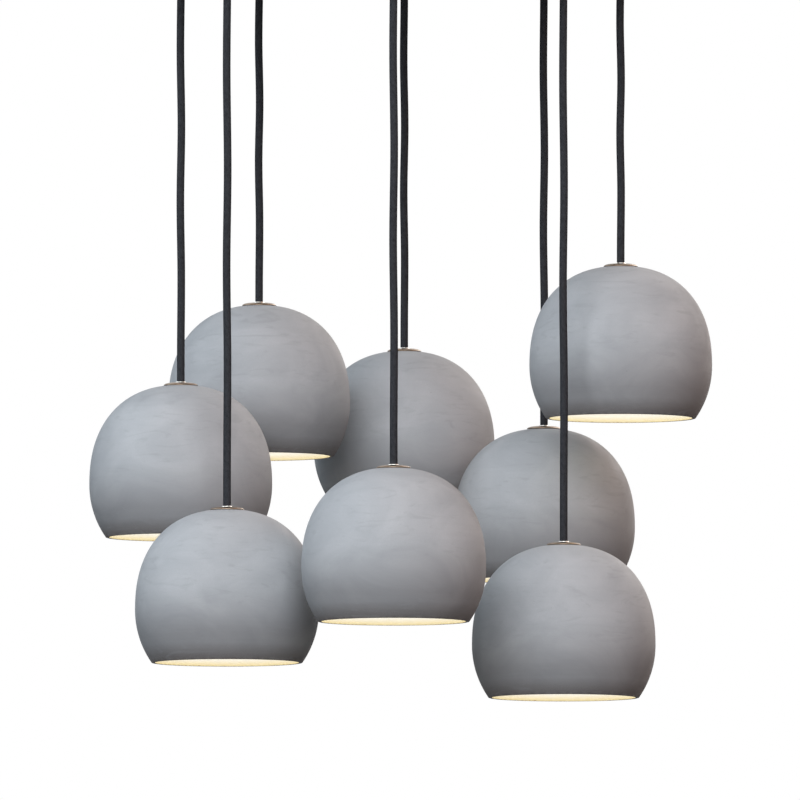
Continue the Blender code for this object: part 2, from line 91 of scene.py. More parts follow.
# %% Place the camera
FRAME_WIDTH = 0.788
CAMERA_DISTANCE = 25.0
SENSOR_WIDTH = 36.0
LOOK_UP = math.radians(3.5)
subject = Vector((-0.0007, 0.0, -0.4949))
view_direction = Vector((0.0, math.cos(LOOK_UP), math.sin(LOOK_UP)))
camera_data = bpy.data.cameras.new("camera")
camera_data.sensor_width = SENSOR_WIDTH
camera_data.lens = SENSOR_WIDTH * CAMERA_DISTANCE / FRAME_WIDTH
camera_data.clip_end = 100.0
camera = new_item("camera", camera_data)
camera.location = subject - view_direction * CAMERA_DISTANCE
camera.rotation_euler = view_direction.to_track_quat("-Z", "Y").to_euler()
scene.camera = camera
print("lens:", round(camera_data.lens), "mm")

# %% [markdown]
# ## Building node trees in a script
#
# Both the shapes and the finishes below are node trees. A group is made with named inputs, each
# given by its default value, or by its type where it has none. A node's input is fed with either
# a plain value or a wire, which is an output of another node. Wires can be added, multiplied and
# so on with the usual signs, and each sign becomes a Math node in the wire's own tree.

# %% Helpers for node trees
SOCKET_TYPES = {float: "Float", int: "Int", tuple: "Vector"}


def new_tree(name, kind, inputs, outputs):
    """A node group, its named inputs as wires, and its output node."""
    tree = bpy.data.node_groups.new(name, kind)
    for label, default in inputs.items():
        has_default = not isinstance(default, str)
        socket_type = SOCKET_TYPES[type(default)] if has_default else default
        socket = tree.interface.new_socket(label, in_out="INPUT", socket_type="NodeSocket" + socket_type)
        if has_default:
            socket.default_value = default
    for label, socket_type in outputs.items():
        tree.interface.new_socket(label, in_out="OUTPUT", socket_type="NodeSocket" + socket_type)
    return tree, Outputs(tree.nodes.new("NodeGroupInput")), tree.nodes.new("NodeGroupOutput")


def new_effect(name, inputs, *outputs):
    """A shader node group that puts out numbers."""
    return new_tree(name, "ShaderNodeTree", inputs, dict.fromkeys(outputs, "Float"))


def new_shape(name, inputs):
    """A Geometry Nodes group that puts out a shape."""
    return new_tree(name, "GeometryNodeTree", inputs, {"Geometry": "Geometry"})


def feed(node, key, value):
    """Feed one input of a node with a plain value or with a wire from another node."""
    if isinstance(value, Wire):
        value.tree.links.new(value.socket, node.inputs[key])
    else:
        node.inputs[key].default_value = value


class Wire:
    """A node's output. Sums, products and powers of wires become Math nodes."""

    def __init__(self, socket):
        self.socket = socket
        self.tree = socket.id_data

    def __add__(self, other):
        return calc("ADD", self, other)

    def __sub__(self, other):
        return calc("SUBTRACT", self, other)

    def __mul__(self, other):
        return calc("MULTIPLY", self, other)

    def __truediv__(self, other):
        return calc("DIVIDE", self, other)

    def __rtruediv__(self, other):
        return calc("DIVIDE", other, self)

    def __pow__(self, other):
        return calc("POWER", self, other)


class Outputs:
    """A node's outputs, read as wires by their name or number."""

    def __init__(self, node):
        self.node = node

    def __getitem__(self, key):
        return Wire(self.node.outputs[key])


def add_node(tree, kind, feeds=None, **options):
    """Add a node, set its options, feed its inputs, and give its outputs."""
    node = tree.nodes.new(kind)
    for key, value in options.items():
        setattr(node, key, value)
    for key, value in (feeds or {}).items():
        feed(node, key, value)
    return Outputs(node)


def tree_of(*values):
    """The tree of the first wire among some values."""
    return next(value.tree for value in values if isinstance(value, Wire))


def calc(operation, *values):
    """A Math node in the tree of the wires that feed it."""
    return add_node(tree_of(*values), "ShaderNodeMath", dict(enumerate(values)), operation=operation)[0]


def remap(value, low, high, to_low=0.0, to_high=1.0):
    """A value moved from one range to another, and held within it."""
    feeds = {"Value": value, "From Min": low, "From Max": high, "To Min": to_low, "To Max": to_high}
    return add_node(tree_of(value), "ShaderNodeMapRange", feeds)["Result"]


def choose(choice, first, second):
    """The first value where the choice is 0, and the second where it is 1."""
    feeds = {0: choice, 2: first, 3: second}
    return add_node(tree_of(choice), "ShaderNodeMix", feeds, data_type="FLOAT")[0]


# %% [markdown]
# ## Running a Geometry Nodes tree
#
# A modifier keeps its inputs under the sockets' identifiers, so the names are looked up first.
# The evaluated result becomes a plain mesh. It is moved into place in the mesh itself, which
# leaves every finished piece at the origin, unturned and unscaled, as the solids are.

# %% Helpers that finish a piece
def finished(name, mesh, location=(0, 0, 0), crease=math.radians(35)):
    """A finished piece from a mesh, placed within it, and smooth but for its sharp edges."""
    mesh.transform(Matrix.Translation(location))
    mesh.shade_smooth()
    mesh.set_sharp_from_angle(angle=crease)
    mesh.name = name
    return new_item(name, mesh)


def grown(tree, values, start=None, bevel=0.0):
    """The plain mesh that a Geometry Nodes tree makes from a start shape and named inputs."""
    item = new_item("start", start or bpy.data.meshes.new("start"))
    modifier = item.modifiers.new("Grow", "NODES")
    modifier.node_group = tree
    sockets = {socket.name: socket.identifier for socket in tree.interface.items_tree
               if socket.in_out == "INPUT"}
    for label, value in values.items():
        modifier[sockets[label]] = value
    if bevel:
        add_bevel(item, bevel)
    return evaluated_mesh(item)


def add_bevel(item, width):
    """A small bevel on the sharper edges, since an edge with no radius catches no light."""
    bevel = item.modifiers.new("Soft edges", "BEVEL")
    bevel.width = width
    bevel.segments = 2
    bevel.limit_method = "ANGLE"
    bevel.angle_limit = math.radians(40)


def evaluated_mesh(item):
    """The plain mesh that an item's modifiers give; the item itself is removed."""
    bpy.context.view_layer.update()
    depsgraph = bpy.context.evaluated_depsgraph_get()
    mesh = bpy.data.meshes.new_from_object(item.evaluated_get(depsgraph))
    bpy.data.objects.remove(item, do_unlink=True)
    while mesh.materials and mesh.materials[0] is None:
        mesh.materials.pop(index=0)
    return mesh


def curve_of(name, routes):
    """A curve through each route's points, as a start shape for a tree."""
    curve = bpy.data.curves.new(name, "CURVE")
    curve.dimensions = "3D"
    for route in routes:
        spline = curve.splines.new("POLY")
        spline.points.add(len(route) - 1)
        for point, place in zip(spline.points, route):
            point.co = (*place, 1)
    return curve


# %% [markdown]
# ## Shared effects for the finishes
#
# Cast, moulded and metal surfaces are never one even colour. Each effect that more than one of
# them needs is a node group, made once and given its own values in each material. Every size in
# them is a real one in metres.

# %% Clouds and streaks
# Most values of a noise lie between these two.
NOISE_LOW, NOISE_HIGH = 0.3, 0.7


def make_clouding():
    """Soft patches of a given size; a size that differs along the axes gives streaks."""
    inputs = {"Place": "Vector", "Patch size": (0.05, 0.05, 0.05), "Distortion": 0.0, "Detail": 4.0}
    tree, given, result = new_effect("Clouding", inputs, "Clouds")
    scaled = add_node(tree, "ShaderNodeVectorMath", {0: given["Place"], 1: given["Patch size"]},
                      operation="DIVIDE")
    noise = add_node(tree, "ShaderNodeTexNoise", {
        "Vector": scaled[0], "Scale": 1.0, "Detail": given["Detail"], "Roughness": 0.55,
        "Distortion": given["Distortion"]})
    feed(result, "Clouds", remap(noise["Fac"], NOISE_LOW, NOISE_HIGH))
    return tree


# %% Grain and pores
# A pore is deepest within the first share of its radius, and its brim ends at the second.
PORE_FLOOR, PORE_BRIM, GRAIN_RELIEF, LEAST_PORE = 0.7, 1.3, 0.4, 0.00001


def make_grain():
    """Fine grain as a height, and the pin holes that air leaves in a casting."""
    inputs = {"Place": "Vector", "Grain size": 0.0008, "Pore spacing": 0.006, "Pore radius": 0.0003}
    tree, given, result = new_effect("Grain and pores", inputs, "Height", "Grain", "Pores")
    grain = add_node(tree, "ShaderNodeTexNoise", {
        "Vector": given["Place"], "Scale": 1.0 / given["Grain size"], "Detail": 3.0})
    cells = add_node(tree, "ShaderNodeTexVoronoi", {
        "Vector": given["Place"], "Scale": 1.0 / given["Pore spacing"]})
    chance = add_node(tree, "ShaderNodeSeparateColor", {0: cells["Color"]})[0]
    distance = cells["Distance"] * given["Pore spacing"]
    width = given["Pore radius"] * chance ** 3.0
    share = distance / (width + LEAST_PORE)
    pores = remap(share, PORE_FLOOR, PORE_BRIM, 1.0, 0.0)
    height = grain["Fac"] * GRAIN_RELIEF - pores
    feed(result, "Height", height)
    feed(result, "Grain", grain["Fac"])
    feed(result, "Pores", pores)
    return tree


# %% Lathe lines
def make_lathe_lines():
    """Fine rings about a turned piece's own axis, as a lathe or a polishing wheel leaves them."""
    inputs = {"Place": "Vector", "Line width": 0.0002}
    tree, given, result = new_effect("Lathe lines", inputs, "Lines")
    parts = add_node(tree, "ShaderNodeSeparateXYZ", {0: given["Place"]})
    squares = parts["X"] ** 2.0 + parts["Y"] ** 2.0
    way = calc("SQRT", squares) - parts["Z"]
    noise = add_node(tree, "ShaderNodeTexNoise", {
        "W": way / given["Line width"], "Scale": 1.0, "Detail": 2.0},
        noise_dimensions="1D")
    feed(result, "Lines", noise["Fac"])
    return tree


# %% Worn edges
# Pointiness is 0.5 where a surface is flat, and more where it bends outwards.
FLAT, LEAST_BEND, BROKEN_LOW, BROKEN_HIGH = 0.5, 0.01, 0.35, 0.6


def make_edge_wear():
    """Where a surface bends outwards, broken up by small patches."""
    inputs = {"Place": "Vector", "Patch size": 0.01, "Reach": 0.05}
    tree, given, result = new_effect("Edge wear", inputs, "Edges")
    bend = add_node(tree, "ShaderNodeNewGeometry")["Pointiness"]
    noise = add_node(tree, "ShaderNodeTexNoise", {
        "Vector": given["Place"], "Scale": 1.0 / given["Patch size"], "Detail": 3.0})
    edge = remap(bend - FLAT, LEAST_BEND, given["Reach"])
    broken = remap(noise["Fac"], BROKEN_LOW, BROKEN_HIGH)
    feed(result, "Edges", edge * broken)
    return tree


CLOUDING = make_clouding()
GRAIN = make_grain()
LATHE_LINES = make_lathe_lines()
EDGE_WEAR = make_edge_wear()
print("shared effects:", [group.name for group in (CLOUDING, GRAIN, LATHE_LINES, EDGE_WEAR)])

# %% [markdown]
# ## Helpers for the materials
#
# A material starts with a Principled shader. What is the same all over goes straight on the
# shader's own sockets. What varies is mixed from the effects above. Turned pieces keep their
# place about their own axis in an attribute, so one material fits a piece wherever it hangs.

# %% Helpers for materials
TURNED_PLACE = "turned_place"


def new_material(name, **values):
    """A material whose shader has plain values; underscores stand for the sockets' spaces."""
    material = bpy.data.materials.new(name)
    material.use_nodes = True
    shader = material.node_tree.nodes["Principled BSDF"]
    for key, value in values.items():
        shader.inputs[key.replace("_", " ")].default_value = value
    return material, material.node_tree, shader


def add_effect(group, **feeds):
    """A shared effect with this material's own values; underscores stand for spaces again."""
    named = {key.replace("_", " "): value for key, value in feeds.items()}
    return add_node(tree_of(*feeds.values()), "ShaderNodeGroup", named, node_tree=group)


def add_clouds(place, patch, distortion=0.0):
    """Clouds of one patch size, given as one number or as three along the axes."""
    patch = patch if isinstance(patch, tuple) else (patch, patch, patch)
    return add_effect(CLOUDING, Place=place, Patch_size=patch, Distortion=distortion)["Clouds"]


def blend(share, first, second):
    """The first colour where the share is 0, and the second where it is 1."""
    feeds = {0: share, 6: first, 7: second}
    return add_node(tree_of(*feeds.values()), "ShaderNodeMix", feeds, data_type="RGBA")[2]


def add_bump(shader, height, distance, strength):
    feeds = {"Height": height, "Distance": distance, "Strength": strength}
    feed(shader, "Normal", add_node(tree_of(height), "ShaderNodeBump", feeds)["Normal"])


def own_place(tree):
    """The place about a turned piece's own axis."""
    return add_node(tree, "ShaderNodeAttribute", attribute_name=TURNED_PLACE)["Vector"]


def object_place(tree):
    """The place in the whole part, for a piece of which there is only one."""
    return add_node(tree, "ShaderNodeTexCoord")["Object"]


# %% [markdown]
# ## The braided cords
#
# A fabric cord is a round mains cord under a sleeve of black yarn. The yarns cross in two
# directions, so the sleeve shows rows of small staggered bumps. A tube of even stitches is
# grown along each cord's route, and every second point is pushed in, which gives those bumps a
# real relief. The finer threads on them are left to the material.

# %% The tree that braids a cord
THREAD_WAY = "thread_way"


def keep_field(geometry, name, field, data_type="FLOAT"):
    """Store a field on the points, so that later nodes or a material can read it."""
    feeds = {"Geometry": geometry, "Name": name, "Value": field}
    kind = "GeometryNodeStoreNamedAttribute"
    return add_node(tree_of(geometry), kind, feeds, data_type=data_type)[0]


def kept_field(tree, name):
    """Read a field that was stored before."""
    return add_node(tree, "GeometryNodeInputNamedAttribute", {"Name": name}, data_type="FLOAT")["Attribute"]


def coated(geometry, material):
    """Copies made real, then the material set, as every tree ends."""
    tree = tree_of(geometry)
    whole = add_node(tree, "GeometryNodeRealizeInstances", {"Geometry": geometry})
    feeds = {"Geometry": whole[0], "Material": material}
    return add_node(tree, "GeometryNodeSetMaterial", feeds)[0]


def join_to_body(added, given, result):
    """End a tree whose new part is joined to the turned body that it was given."""
    tree = tree_of(added)
    where = add_node(tree, "GeometryNodeInputPosition")[0]
    mapped = keep_field(added, TURNED_PLACE, where, "FLOAT_VECTOR")
    joined = tree.nodes.new("GeometryNodeJoinGeometry")
    feed(joined, 0, given["Body"])
    feed(joined, 0, mapped)
    feed(result, "Geometry", coated(Wire(joined.outputs[0]), given["Material"]))


def make_braided_cord():
    inputs = {"Route": "Geometry", "Radius": 0.004, "Stitch length": 0.001,
              "Sides": 32, "Relief": 0.0, "Material": "Material"}
    tree, given, result = new_shape("Braided cord", inputs)
    way = add_node(tree, "GeometryNodeSplineParameter")
    smooth = add_node(tree, "GeometryNodeCurveSplineType", {"Curve": given["Route"]},
                      spline_type="CATMULL_ROM")
    finer = add_node(tree, "GeometryNodeSetSplineResolution", {"Geometry": smooth[0], "Resolution": 24})
    even = add_node(tree, "GeometryNodeResampleCurve",
                    {"Curve": finer[0], "Length": given["Stitch length"]}, mode="LENGTH")
    ring = add_node(tree, "GeometryNodeCurvePrimitiveCircle",
                    {"Resolution": given["Sides"], "Radius": given["Radius"]})
    rows = keep_field(even[0], "row", way["Index"])
    lengths = keep_field(rows, "length", way["Length"])
    sides = keep_field(ring["Curve"], "side", way["Index"])
    tube = add_node(tree, "GeometryNodeCurveToMesh",
                    {"Curve": lengths, "Profile Curve": sides, "Fill Caps": True})[0]
    side = kept_field(tree, "side")
    sunk = calc("MODULO", side + kept_field(tree, "row"), 2.0)
    depth = sunk * (given["Relief"] * -1.0)
    normal = add_node(tree, "GeometryNodeInputNormal")[0]
    push = add_node(tree, "ShaderNodeVectorMath", {0: normal, "Scale": depth}, operation="SCALE")
    bumps = add_node(tree, "GeometryNodeSetPosition", {"Geometry": tube, "Offset": push[0]})
    turn = side / given["Sides"] * math.tau
    thread = add_node(tree, "ShaderNodeCombineXYZ", {
        "X": calc("SINE", turn), "Y": calc("COSINE", turn), "Z": kept_field(tree, "length")})
    mapped = keep_field(bumps[0], THREAD_WAY, thread[0], "FLOAT_VECTOR")
    feed(result, "Geometry", coated(mapped, given["Material"]))
    return tree


BRAIDED_CORD = make_braided_cord()
print("nodes in the cord's tree:", len(BRAIDED_CORD.nodes))

# %% [markdown]
# ## Black yarn
#
# The material reads the angle round the cord and the length along it, both stored by the tree.
# Their sum and difference follow the two directions in which the yarns run. Columns of
# stitches lean one way and the other in turn, and each stitch shows a few parallel threads.

# %% The yarn's material
STITCH, CORD_SIDES, THREADS = 0.0008, 32, 3.0
STITCH_FLAT, STITCH_GAP, THREAD_HEIGHT, THREAD_SHADE = 0.28, 0.5, 0.8, 0.45
# The gap tone is painted shade between the stitches.
GAP_SHADE_TONE, THREAD_TONE = (0.003, 0.003, 0.004, 1), (0.062, 0.065, 0.072, 1)


def make_yarn():
    material, tree, shader = new_material("black_yarn", Roughness=0.7, Specular_IOR_Level=0.0)
    way = add_node(tree, "ShaderNodeAttribute", attribute_name=THREAD_WAY)["Vector"]
    parts = add_node(tree, "ShaderNodeSeparateXYZ", {0: way})
    turn = calc("ARCTAN2", parts["X"], parts["Y"])
    around = turn * (CORD_SIDES / 2 / math.tau)
    along = parts["Z"] / (2 * STITCH)
    rising = around + along
    falling = around - along
    columns = calc("ROUND", rising) + calc("ROUND", falling)
    leaning = calc("FLOORED_MODULO", columns, 2.0)
    across = choose(leaning, rising, falling)
    threads = calc("PINGPONG", across * THREADS, 0.5)
    edge = calc("MAXIMUM", off_centre(rising), off_centre(falling))
    stitch = remap(edge, STITCH_FLAT, STITCH_GAP, 1.0, 0.0)
    height = stitch + threads * THREAD_HEIGHT
    fuzz = add_effect(CLOUDING, Place=way, Patch_size=(0.6, 0.6, 0.004), Detail=3.0)["Clouds"]
    # Painted shade: the colour darkens across each thread and in the gaps between stitches; the fuzz is the
    # yarn's own tone.
    thread_shade_and_fuzz = (threads + THREAD_SHADE) * (fuzz + 1.0)
    tone = thread_shade_and_fuzz * stitch
    feed(shader, "Base Color", blend(tone, GAP_SHADE_TONE, THREAD_TONE))
    add_bump(shader, height, distance=0.00025, strength=0.45)
    return material


def off_centre(value):
    """How far a value lies from the nearest whole number."""
    return calc("ABSOLUTE", value - calc("ROUND", value))


YARN = make_yarn()
print("nodes in the yarn:", len(YARN.node_tree.nodes))

# %% [markdown]
# ## The cords along their routes
#
# A hanging cord keeps a trace of how it was coiled, so it is never quite straight: its route
# leans a few tenths of a millimetre to each side. It starts inside its grip and ends in the
# cap's stem.

# %% Braid the eight cords
CORD_DIAMETER = 0.0077
CORD_RELIEF = 0.00015
CORD_WAVE = ((0.0, 0.0), (0.10, 0.0), (0.24, -0.07), (0.40, 0.06), (0.56, -0.07), (0.72, 0.05), (0.88, 0.0),
             (1.0, 0.0))
for number in PENDANTS:
    low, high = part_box(f"cord_{number}")
    pivot = PIVOTS[number]
    length = high.z - low.z
    route = [(pivot.x + wave * CORD_DIAMETER, pivot.y, high.z - way * length) for way, wave in CORD_WAVE]
    values = {"Radius": CORD_DIAMETER / 2, "Stitch length": STITCH, "Sides": CORD_SIDES,
              "Relief": CORD_RELIEF, "Material": YARN}
    cord = finished(f"fabric_cord_{number}", grown(BRAIDED_CORD, values, curve_of("route", [route])),
                    crease=math.radians(80))
    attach(cord, f"cord_{number}")
    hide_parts(f"cord_{number}")
    print(cord.name, "length", round(length, 3), "m, triangles", 2 * len(cord.data.polygons))

# %% [markdown]
# ## The concrete balls
#
# Each ball is cast in a mould, so its shape follows a rule: above its widest level the side is a
# slightly full ellipse, and below it a plain arc that ends in a narrow rim. A grid is bent to
# that rule in Geometry Nodes. Each row of the grid is one level of the section, out over the
# outside, round the rim and back up the inside, and each column is one step of a full turn.

# %% The tree that shapes a ball
CASTING = "casting"


def ball_side(turn, widest, rise, fullness):
    """Radius and level on a side, by the angle down from the crown."""
    power = 2.0 / fullness
    high_radius = widest * calc("SINE", turn) ** power
    cosine = calc("MAXIMUM", calc("COSINE", turn), 0.0)
    high_level = rise * cosine ** power
    below = turn - math.pi / 2
    low_radius = widest * calc("COSINE", below)
    low_level = widest * calc("SINE", below * -1.0)
    is_low = calc("GREATER_THAN", below, 0.0)
    return choose(is_low, high_radius, low_radius), choose(is_low, high_level, low_level)


def seat_turn(seat_radius, widest, fullness):
    """The angle down from the crown at which a side starts, at the edge of its seat."""
    return calc("ARCSINE", (seat_radius / widest) ** (fullness / 2.0))


def side_turn(row, first_row, count, start, widest, drop):
    """The angle at a row of one side, from its start at the seat to its lower end."""
    share = (row - first_row) / (count - 1.0)
    end = calc("ARCSINE", drop / widest) + math.pi / 2
    inside = add_node(tree_of(row), "ShaderNodeClamp", {"Value": share})[0]
    return start + inside * (end - start)


def make_ball_shade():
    sizes = ("Widest radius", "Crown rise", "Skirt drop", "Wall", "Rim width", "Lip height", "Fullness",
             "Seat radius", "Inner seat radius", "Hole radius")
    inputs = dict.fromkeys(sizes, 0.01)
    inputs |= {"Outside rows": 40, "Inside rows": 24, "Columns": 128,
               "Casting": 0.0, "Concrete": "Material", "Enamel": "Material"}
    tree, given, result = new_shape("Ball shade", inputs)
    outside, inside, fullness = given["Outside rows"], given["Inside rows"], given["Fullness"]
    # Row 0 is the hole's upper edge. Then come the outside, the rim's inner edge, the inside, the
    # hole's lower edge, and a last row that closes onto row 0.
    rows = outside + inside + 4.0
    steps = given["Columns"] + 1.0
    grid = add_node(tree, "GeometryNodeMeshGrid", {"Vertices X": rows, "Vertices Y": steps})
    index = add_node(tree, "GeometryNodeInputIndex")[0]
    row = calc("FLOOR", (index + 0.5) / steps)
    column = index - row * steps

    widest, rise, drop = given["Widest radius"], given["Crown rise"], given["Skirt drop"]
    outer_start = seat_turn(given["Seat radius"], widest, fullness)
    outer_turn = side_turn(row, 1.0, outside, outer_start, widest, drop)
    outer_radius, outer_level = ball_side(outer_turn, widest, rise, fullness)
    inner_widest = widest - given["Wall"]
    inner_rise = rise - given["Wall"]
    inner_drop = drop - given["Lip height"]
    last_row = rows - 3.0
    up_row = last_row - row
    inner_start = seat_turn(given["Inner seat radius"], inner_widest, fullness)
    inner_turn = side_turn(up_row, 0.0, inside, inner_start, inner_widest, inner_drop)
    inner_radius, inner_level = ball_side(inner_turn, inner_widest, inner_rise, fullness)

    is_inner = calc("GREATER_THAN", row, outside + 1.5)
    radius = choose(is_inner, outer_radius, inner_radius)
    level = choose(is_inner, outer_level, inner_level)
    is_lip = calc("COMPARE", row, outside + 1.0, 0.1)
    radius = radius - is_lip * given["Rim width"]
    is_first = calc("LESS_THAN", row, 0.5)
    is_end = calc("GREATER_THAN", row, rows - 2.5)
    is_hole = calc("MAXIMUM", is_first, is_end)
    radius = choose(is_hole, radius, given["Hole radius"])
    is_closing = calc("GREATER_THAN", row, rows - 1.5)
    closing_level = ball_side(outer_start, widest, rise, fullness)[1]
    level = choose(is_closing, level, closing_level)

    angle = column / given["Columns"] * math.tau
    place = add_node(tree, "ShaderNodeCombineXYZ", {
        "X": radius * calc("COSINE", angle),
        "Y": radius * calc("SINE", angle),
        "Z": level - rise})[0]
    shaped = add_node(tree, "GeometryNodeSetPosition", {"Geometry": grid["Mesh"], "Position": place})
    enamelled = keep_field(shaped[0], "inner", is_inner)
    cast = keep_field(enamelled, CASTING, given["Casting"])
    mapped = keep_field(cast, TURNED_PLACE, place, "FLOAT_VECTOR")
    whole = add_node(tree, "GeometryNodeMergeByDistance", {"Geometry": mapped, "Distance": 0.00002})
    on_inside = calc("GREATER_THAN", kept_field(tree, "inner"), 0.4)
    lined = add_node(tree, "GeometryNodeSetMaterial", {
        "Geometry": coated(whole[0], given["Concrete"]), "Selection": on_inside,
        "Material": given["Enamel"]})
    feed(result, "Geometry", lined[0])
    return tree


BALL_SHADE = make_ball_shade()
print("nodes in the ball's tree:", len(BALL_SHADE.nodes))

# %% [markdown]
# ## Cast concrete
#
# The casts are smooth and grey. Cement settles in soft clouds and dark wisps, the mould leaves
# faint level streaks, and air leaves a few pin holes. The lower third is painted darker, and
# darker and warmer still just above the rim: painted shade, where less light reaches the
# underside. Sharp edges are handled most, so they wear lighter.
# Each ball reads its own casting number, which moves the patterns, so no two look alike.

# %% The concrete's material
SHADE_SIZES = {
    "Widest radius": 0.090, "Crown rise": 0.0985, "Skirt drop": 0.0517, "Wall": 0.005, "Rim width": 0.0035,
    "Lip height": 0.006, "Fullness": 2.3, "Seat radius": 0.0172, "Inner seat radius": 0.0154,
    "Hole radius": 0.0069,
}
RIM_LEVEL = -SHADE_SIZES["Crown rise"] - SHADE_SIZES["Skirt drop"]
# Painted shade: below these levels the concrete is drawn darker, and darker and warmer still near the rim.
PAINTED_SHADE_LOW, PAINTED_SHADE_HIGH, RIM_SHADE_TONE_REACH = -0.124, -0.080, 0.016
UPPER_TONES = (0.370, 0.384, 0.400, 1), (0.447, 0.460, 0.474, 1)
PAINTED_SHADE_TONES = (0.240, 0.243, 0.252, 1), (0.292, 0.293, 0.300, 1)
STREAK_SHARE, WISP_SHARE, GRAIN_SHARE, PORE_SHARE, WEAR_SHARE = 0.12, 0.34, 0.22, 0.6, 0.5
RIM_SHADE_TONE, STREAK_TONE, WISP_TONE = (0.15, 0.135, 0.13, 1), (0.33, 0.335, 0.34, 1), (0.29, 0.30, 0.31, 1)
GRAIN_TONE, PORE_TONE, WORN_TONE = (0.30, 0.30, 0.30, 1), (0.16, 0.16, 0.16, 1), (0.56, 0.55, 0.53, 1)
CONCRETE_ROUGHNESS, WISP_START, STREAK_RELIEF = (0.78, 0.62), 0.66, 0.35


def make_concrete():
    material, tree, shader = new_material("cast_concrete", Specular_IOR_Level=0.08)
    place = own_place(tree)
    number = add_node(tree, "ShaderNodeAttribute", attribute_name=CASTING)["Fac"]
    moved = add_node(tree, "ShaderNodeCombineXYZ", {"X": number, "Y": number})[0]
    here = add_node(tree, "ShaderNodeVectorMath", {0: place, 1: moved}, operation="ADD")[0]
    clouds = add_clouds(here, (0.07, 0.07, 0.05), distortion=1.2)
    streaks = add_clouds(here, (0.08, 0.08, 0.0035), distortion=0.3)
    wisps = add_clouds(here, (0.045, 0.045, 0.011), distortion=2.0)
    grain = add_effect(GRAIN, Place=here, Grain_size=0.0009, Pore_spacing=0.011, Pore_radius=0.0005)
    edges = add_effect(EDGE_WEAR, Place=here, Patch_size=0.006, Reach=0.06)["Edges"]
    level = add_node(tree, "ShaderNodeSeparateXYZ", {0: place})["Z"]
    upper_tone = blend(clouds, *UPPER_TONES)
    painted_shade = blend(clouds, *PAINTED_SHADE_TONES)
    # Painted shade: the lower third blends to darker tones, and the last reach above the rim to a dark warm
    # tone.
    body = blend(remap(level, PAINTED_SHADE_LOW, PAINTED_SHADE_HIGH), painted_shade, upper_tone)
    colour = blend(remap(level, RIM_LEVEL, RIM_LEVEL + RIM_SHADE_TONE_REACH), RIM_SHADE_TONE, body)
    marks = ((streaks * STREAK_SHARE, STREAK_TONE),
             (remap(wisps, WISP_START, 1.0, 0.0, WISP_SHARE), WISP_TONE),
             (remap(grain["Grain"], NOISE_LOW, NOISE_HIGH, 0.0, GRAIN_SHARE), GRAIN_TONE),
             (grain["Pores"] * PORE_SHARE, PORE_TONE),
             (edges * WEAR_SHARE, WORN_TONE))
    for share, tone in marks:
        colour = blend(share, colour, tone)
    feed(shader, "Base Color", colour)
    feed(shader, "Roughness", remap(clouds, 0.0, 1.0, *CONCRETE_ROUGHNESS))
    height = grain["Height"] + streaks * STREAK_RELIEF
    add_bump(shader, height, distance=0.00012, strength=0.6)
    return material


CONCRETE = make_concrete()
print("nodes in the concrete:", len(CONCRETE.node_tree.nodes))

# %% [markdown]
# ## The white inside
#
# The inside is sprayed white so that the bulb's light is thrown back out. Its glow is painted
# light: the enamel emits as if the bulb lit it.
# The glow is yellower near the rim, and it dims towards the crown so that the bulb still shows
# against it. The spray thins out over the last millimetre above the rim, where the warm tone of
# the raw casting comes through. The photo's studio lamps outshone the bulbs, so only a share of
# the glow that the camera sees is thrown on the neighbours.

# %% The enamel's material
SPRAY_FADE, GLOW_FADE, DEEP_START, DEEP_END = 0.0012, 0.0070, 0.016, 0.070
WHITE_TONES, RAW_TONE = ((0.84, 0.83, 0.79, 1), (0.88, 0.87, 0.84, 1)), (0.50, 0.42, 0.31, 1)
# The glow colours and strength are painted light of the bulb on the enamel.
RIM_GLOW, FULL_GLOW, DEEP_GLOW, RAW_GLOW = (
    (0.92, 0.71, 0.25, 1), (1.0, 0.96, 0.86, 1), (0.34, 0.30, 0.23, 1), (0.40, 0.29, 0.17, 1))
PAINTED_GLOW_STRENGTH, THROWN_SHARE = 0.62, 0.5


def seen_directly(tree):
    """1 for what the camera sees, also in a mirror or through glass, and 0 for light on a surface."""
    rays = add_node(tree, "ShaderNodeLightPath")
    seen = calc("MAXIMUM", rays["Is Camera Ray"], rays["Is Glossy Ray"])
    seen = calc("MAXIMUM", seen, rays["Is Transmission Ray"])
    return seen * calc("LESS_THAN", rays["Diffuse Depth"], 0.5)


def make_enamel():
    material, tree, shader = new_material(
        "white_enamel_painted_glow", Roughness=0.55, Specular_IOR_Level=0.3, Emission_Strength=PAINTED_GLOW_STRENGTH)
    place = own_place(tree)
    level = add_node(tree, "ShaderNodeSeparateXYZ", {0: place})["Z"]
    speckle = add_clouds(place, 0.003)
    ragged = level + speckle * SPRAY_FADE
    sprayed = remap(ragged, RIM_LEVEL + SPRAY_FADE / 4, RIM_LEVEL + SPRAY_FADE)
    white = blend(add_clouds(place, 0.03), *WHITE_TONES)
    feed(shader, "Base Color", blend(sprayed, RAW_TONE, white))
    # The emission is painted light, as if the bulb lit the enamel: yellower near the rim, dimmer towards
    # the crown, warm on the raw casting.
    deeper = remap(ragged, RIM_LEVEL + SPRAY_FADE, RIM_LEVEL + GLOW_FADE)
    inmost = remap(level, RIM_LEVEL + DEEP_START, RIM_LEVEL + DEEP_END)
    glow = blend(deeper, RIM_GLOW, FULL_GLOW)
    glow = blend(inmost, glow, DEEP_GLOW)
    glow = blend(sprayed, RAW_GLOW, glow)
    thrown = blend(THROWN_SHARE, (0, 0, 0, 1), glow)
    feed(shader, "Emission Color", blend(seen_directly(tree), thrown, glow))
    add_bump(shader, speckle, distance=0.00008, strength=0.5)
    return material


ENAMEL = make_enamel()
print("nodes in the enamel:", len(ENAMEL.node_tree.nodes))

# %% [markdown]
# ## Hanging the balls
#
# The same tree makes all eight. A small bevel softens the rim and the seats, as a mould does.

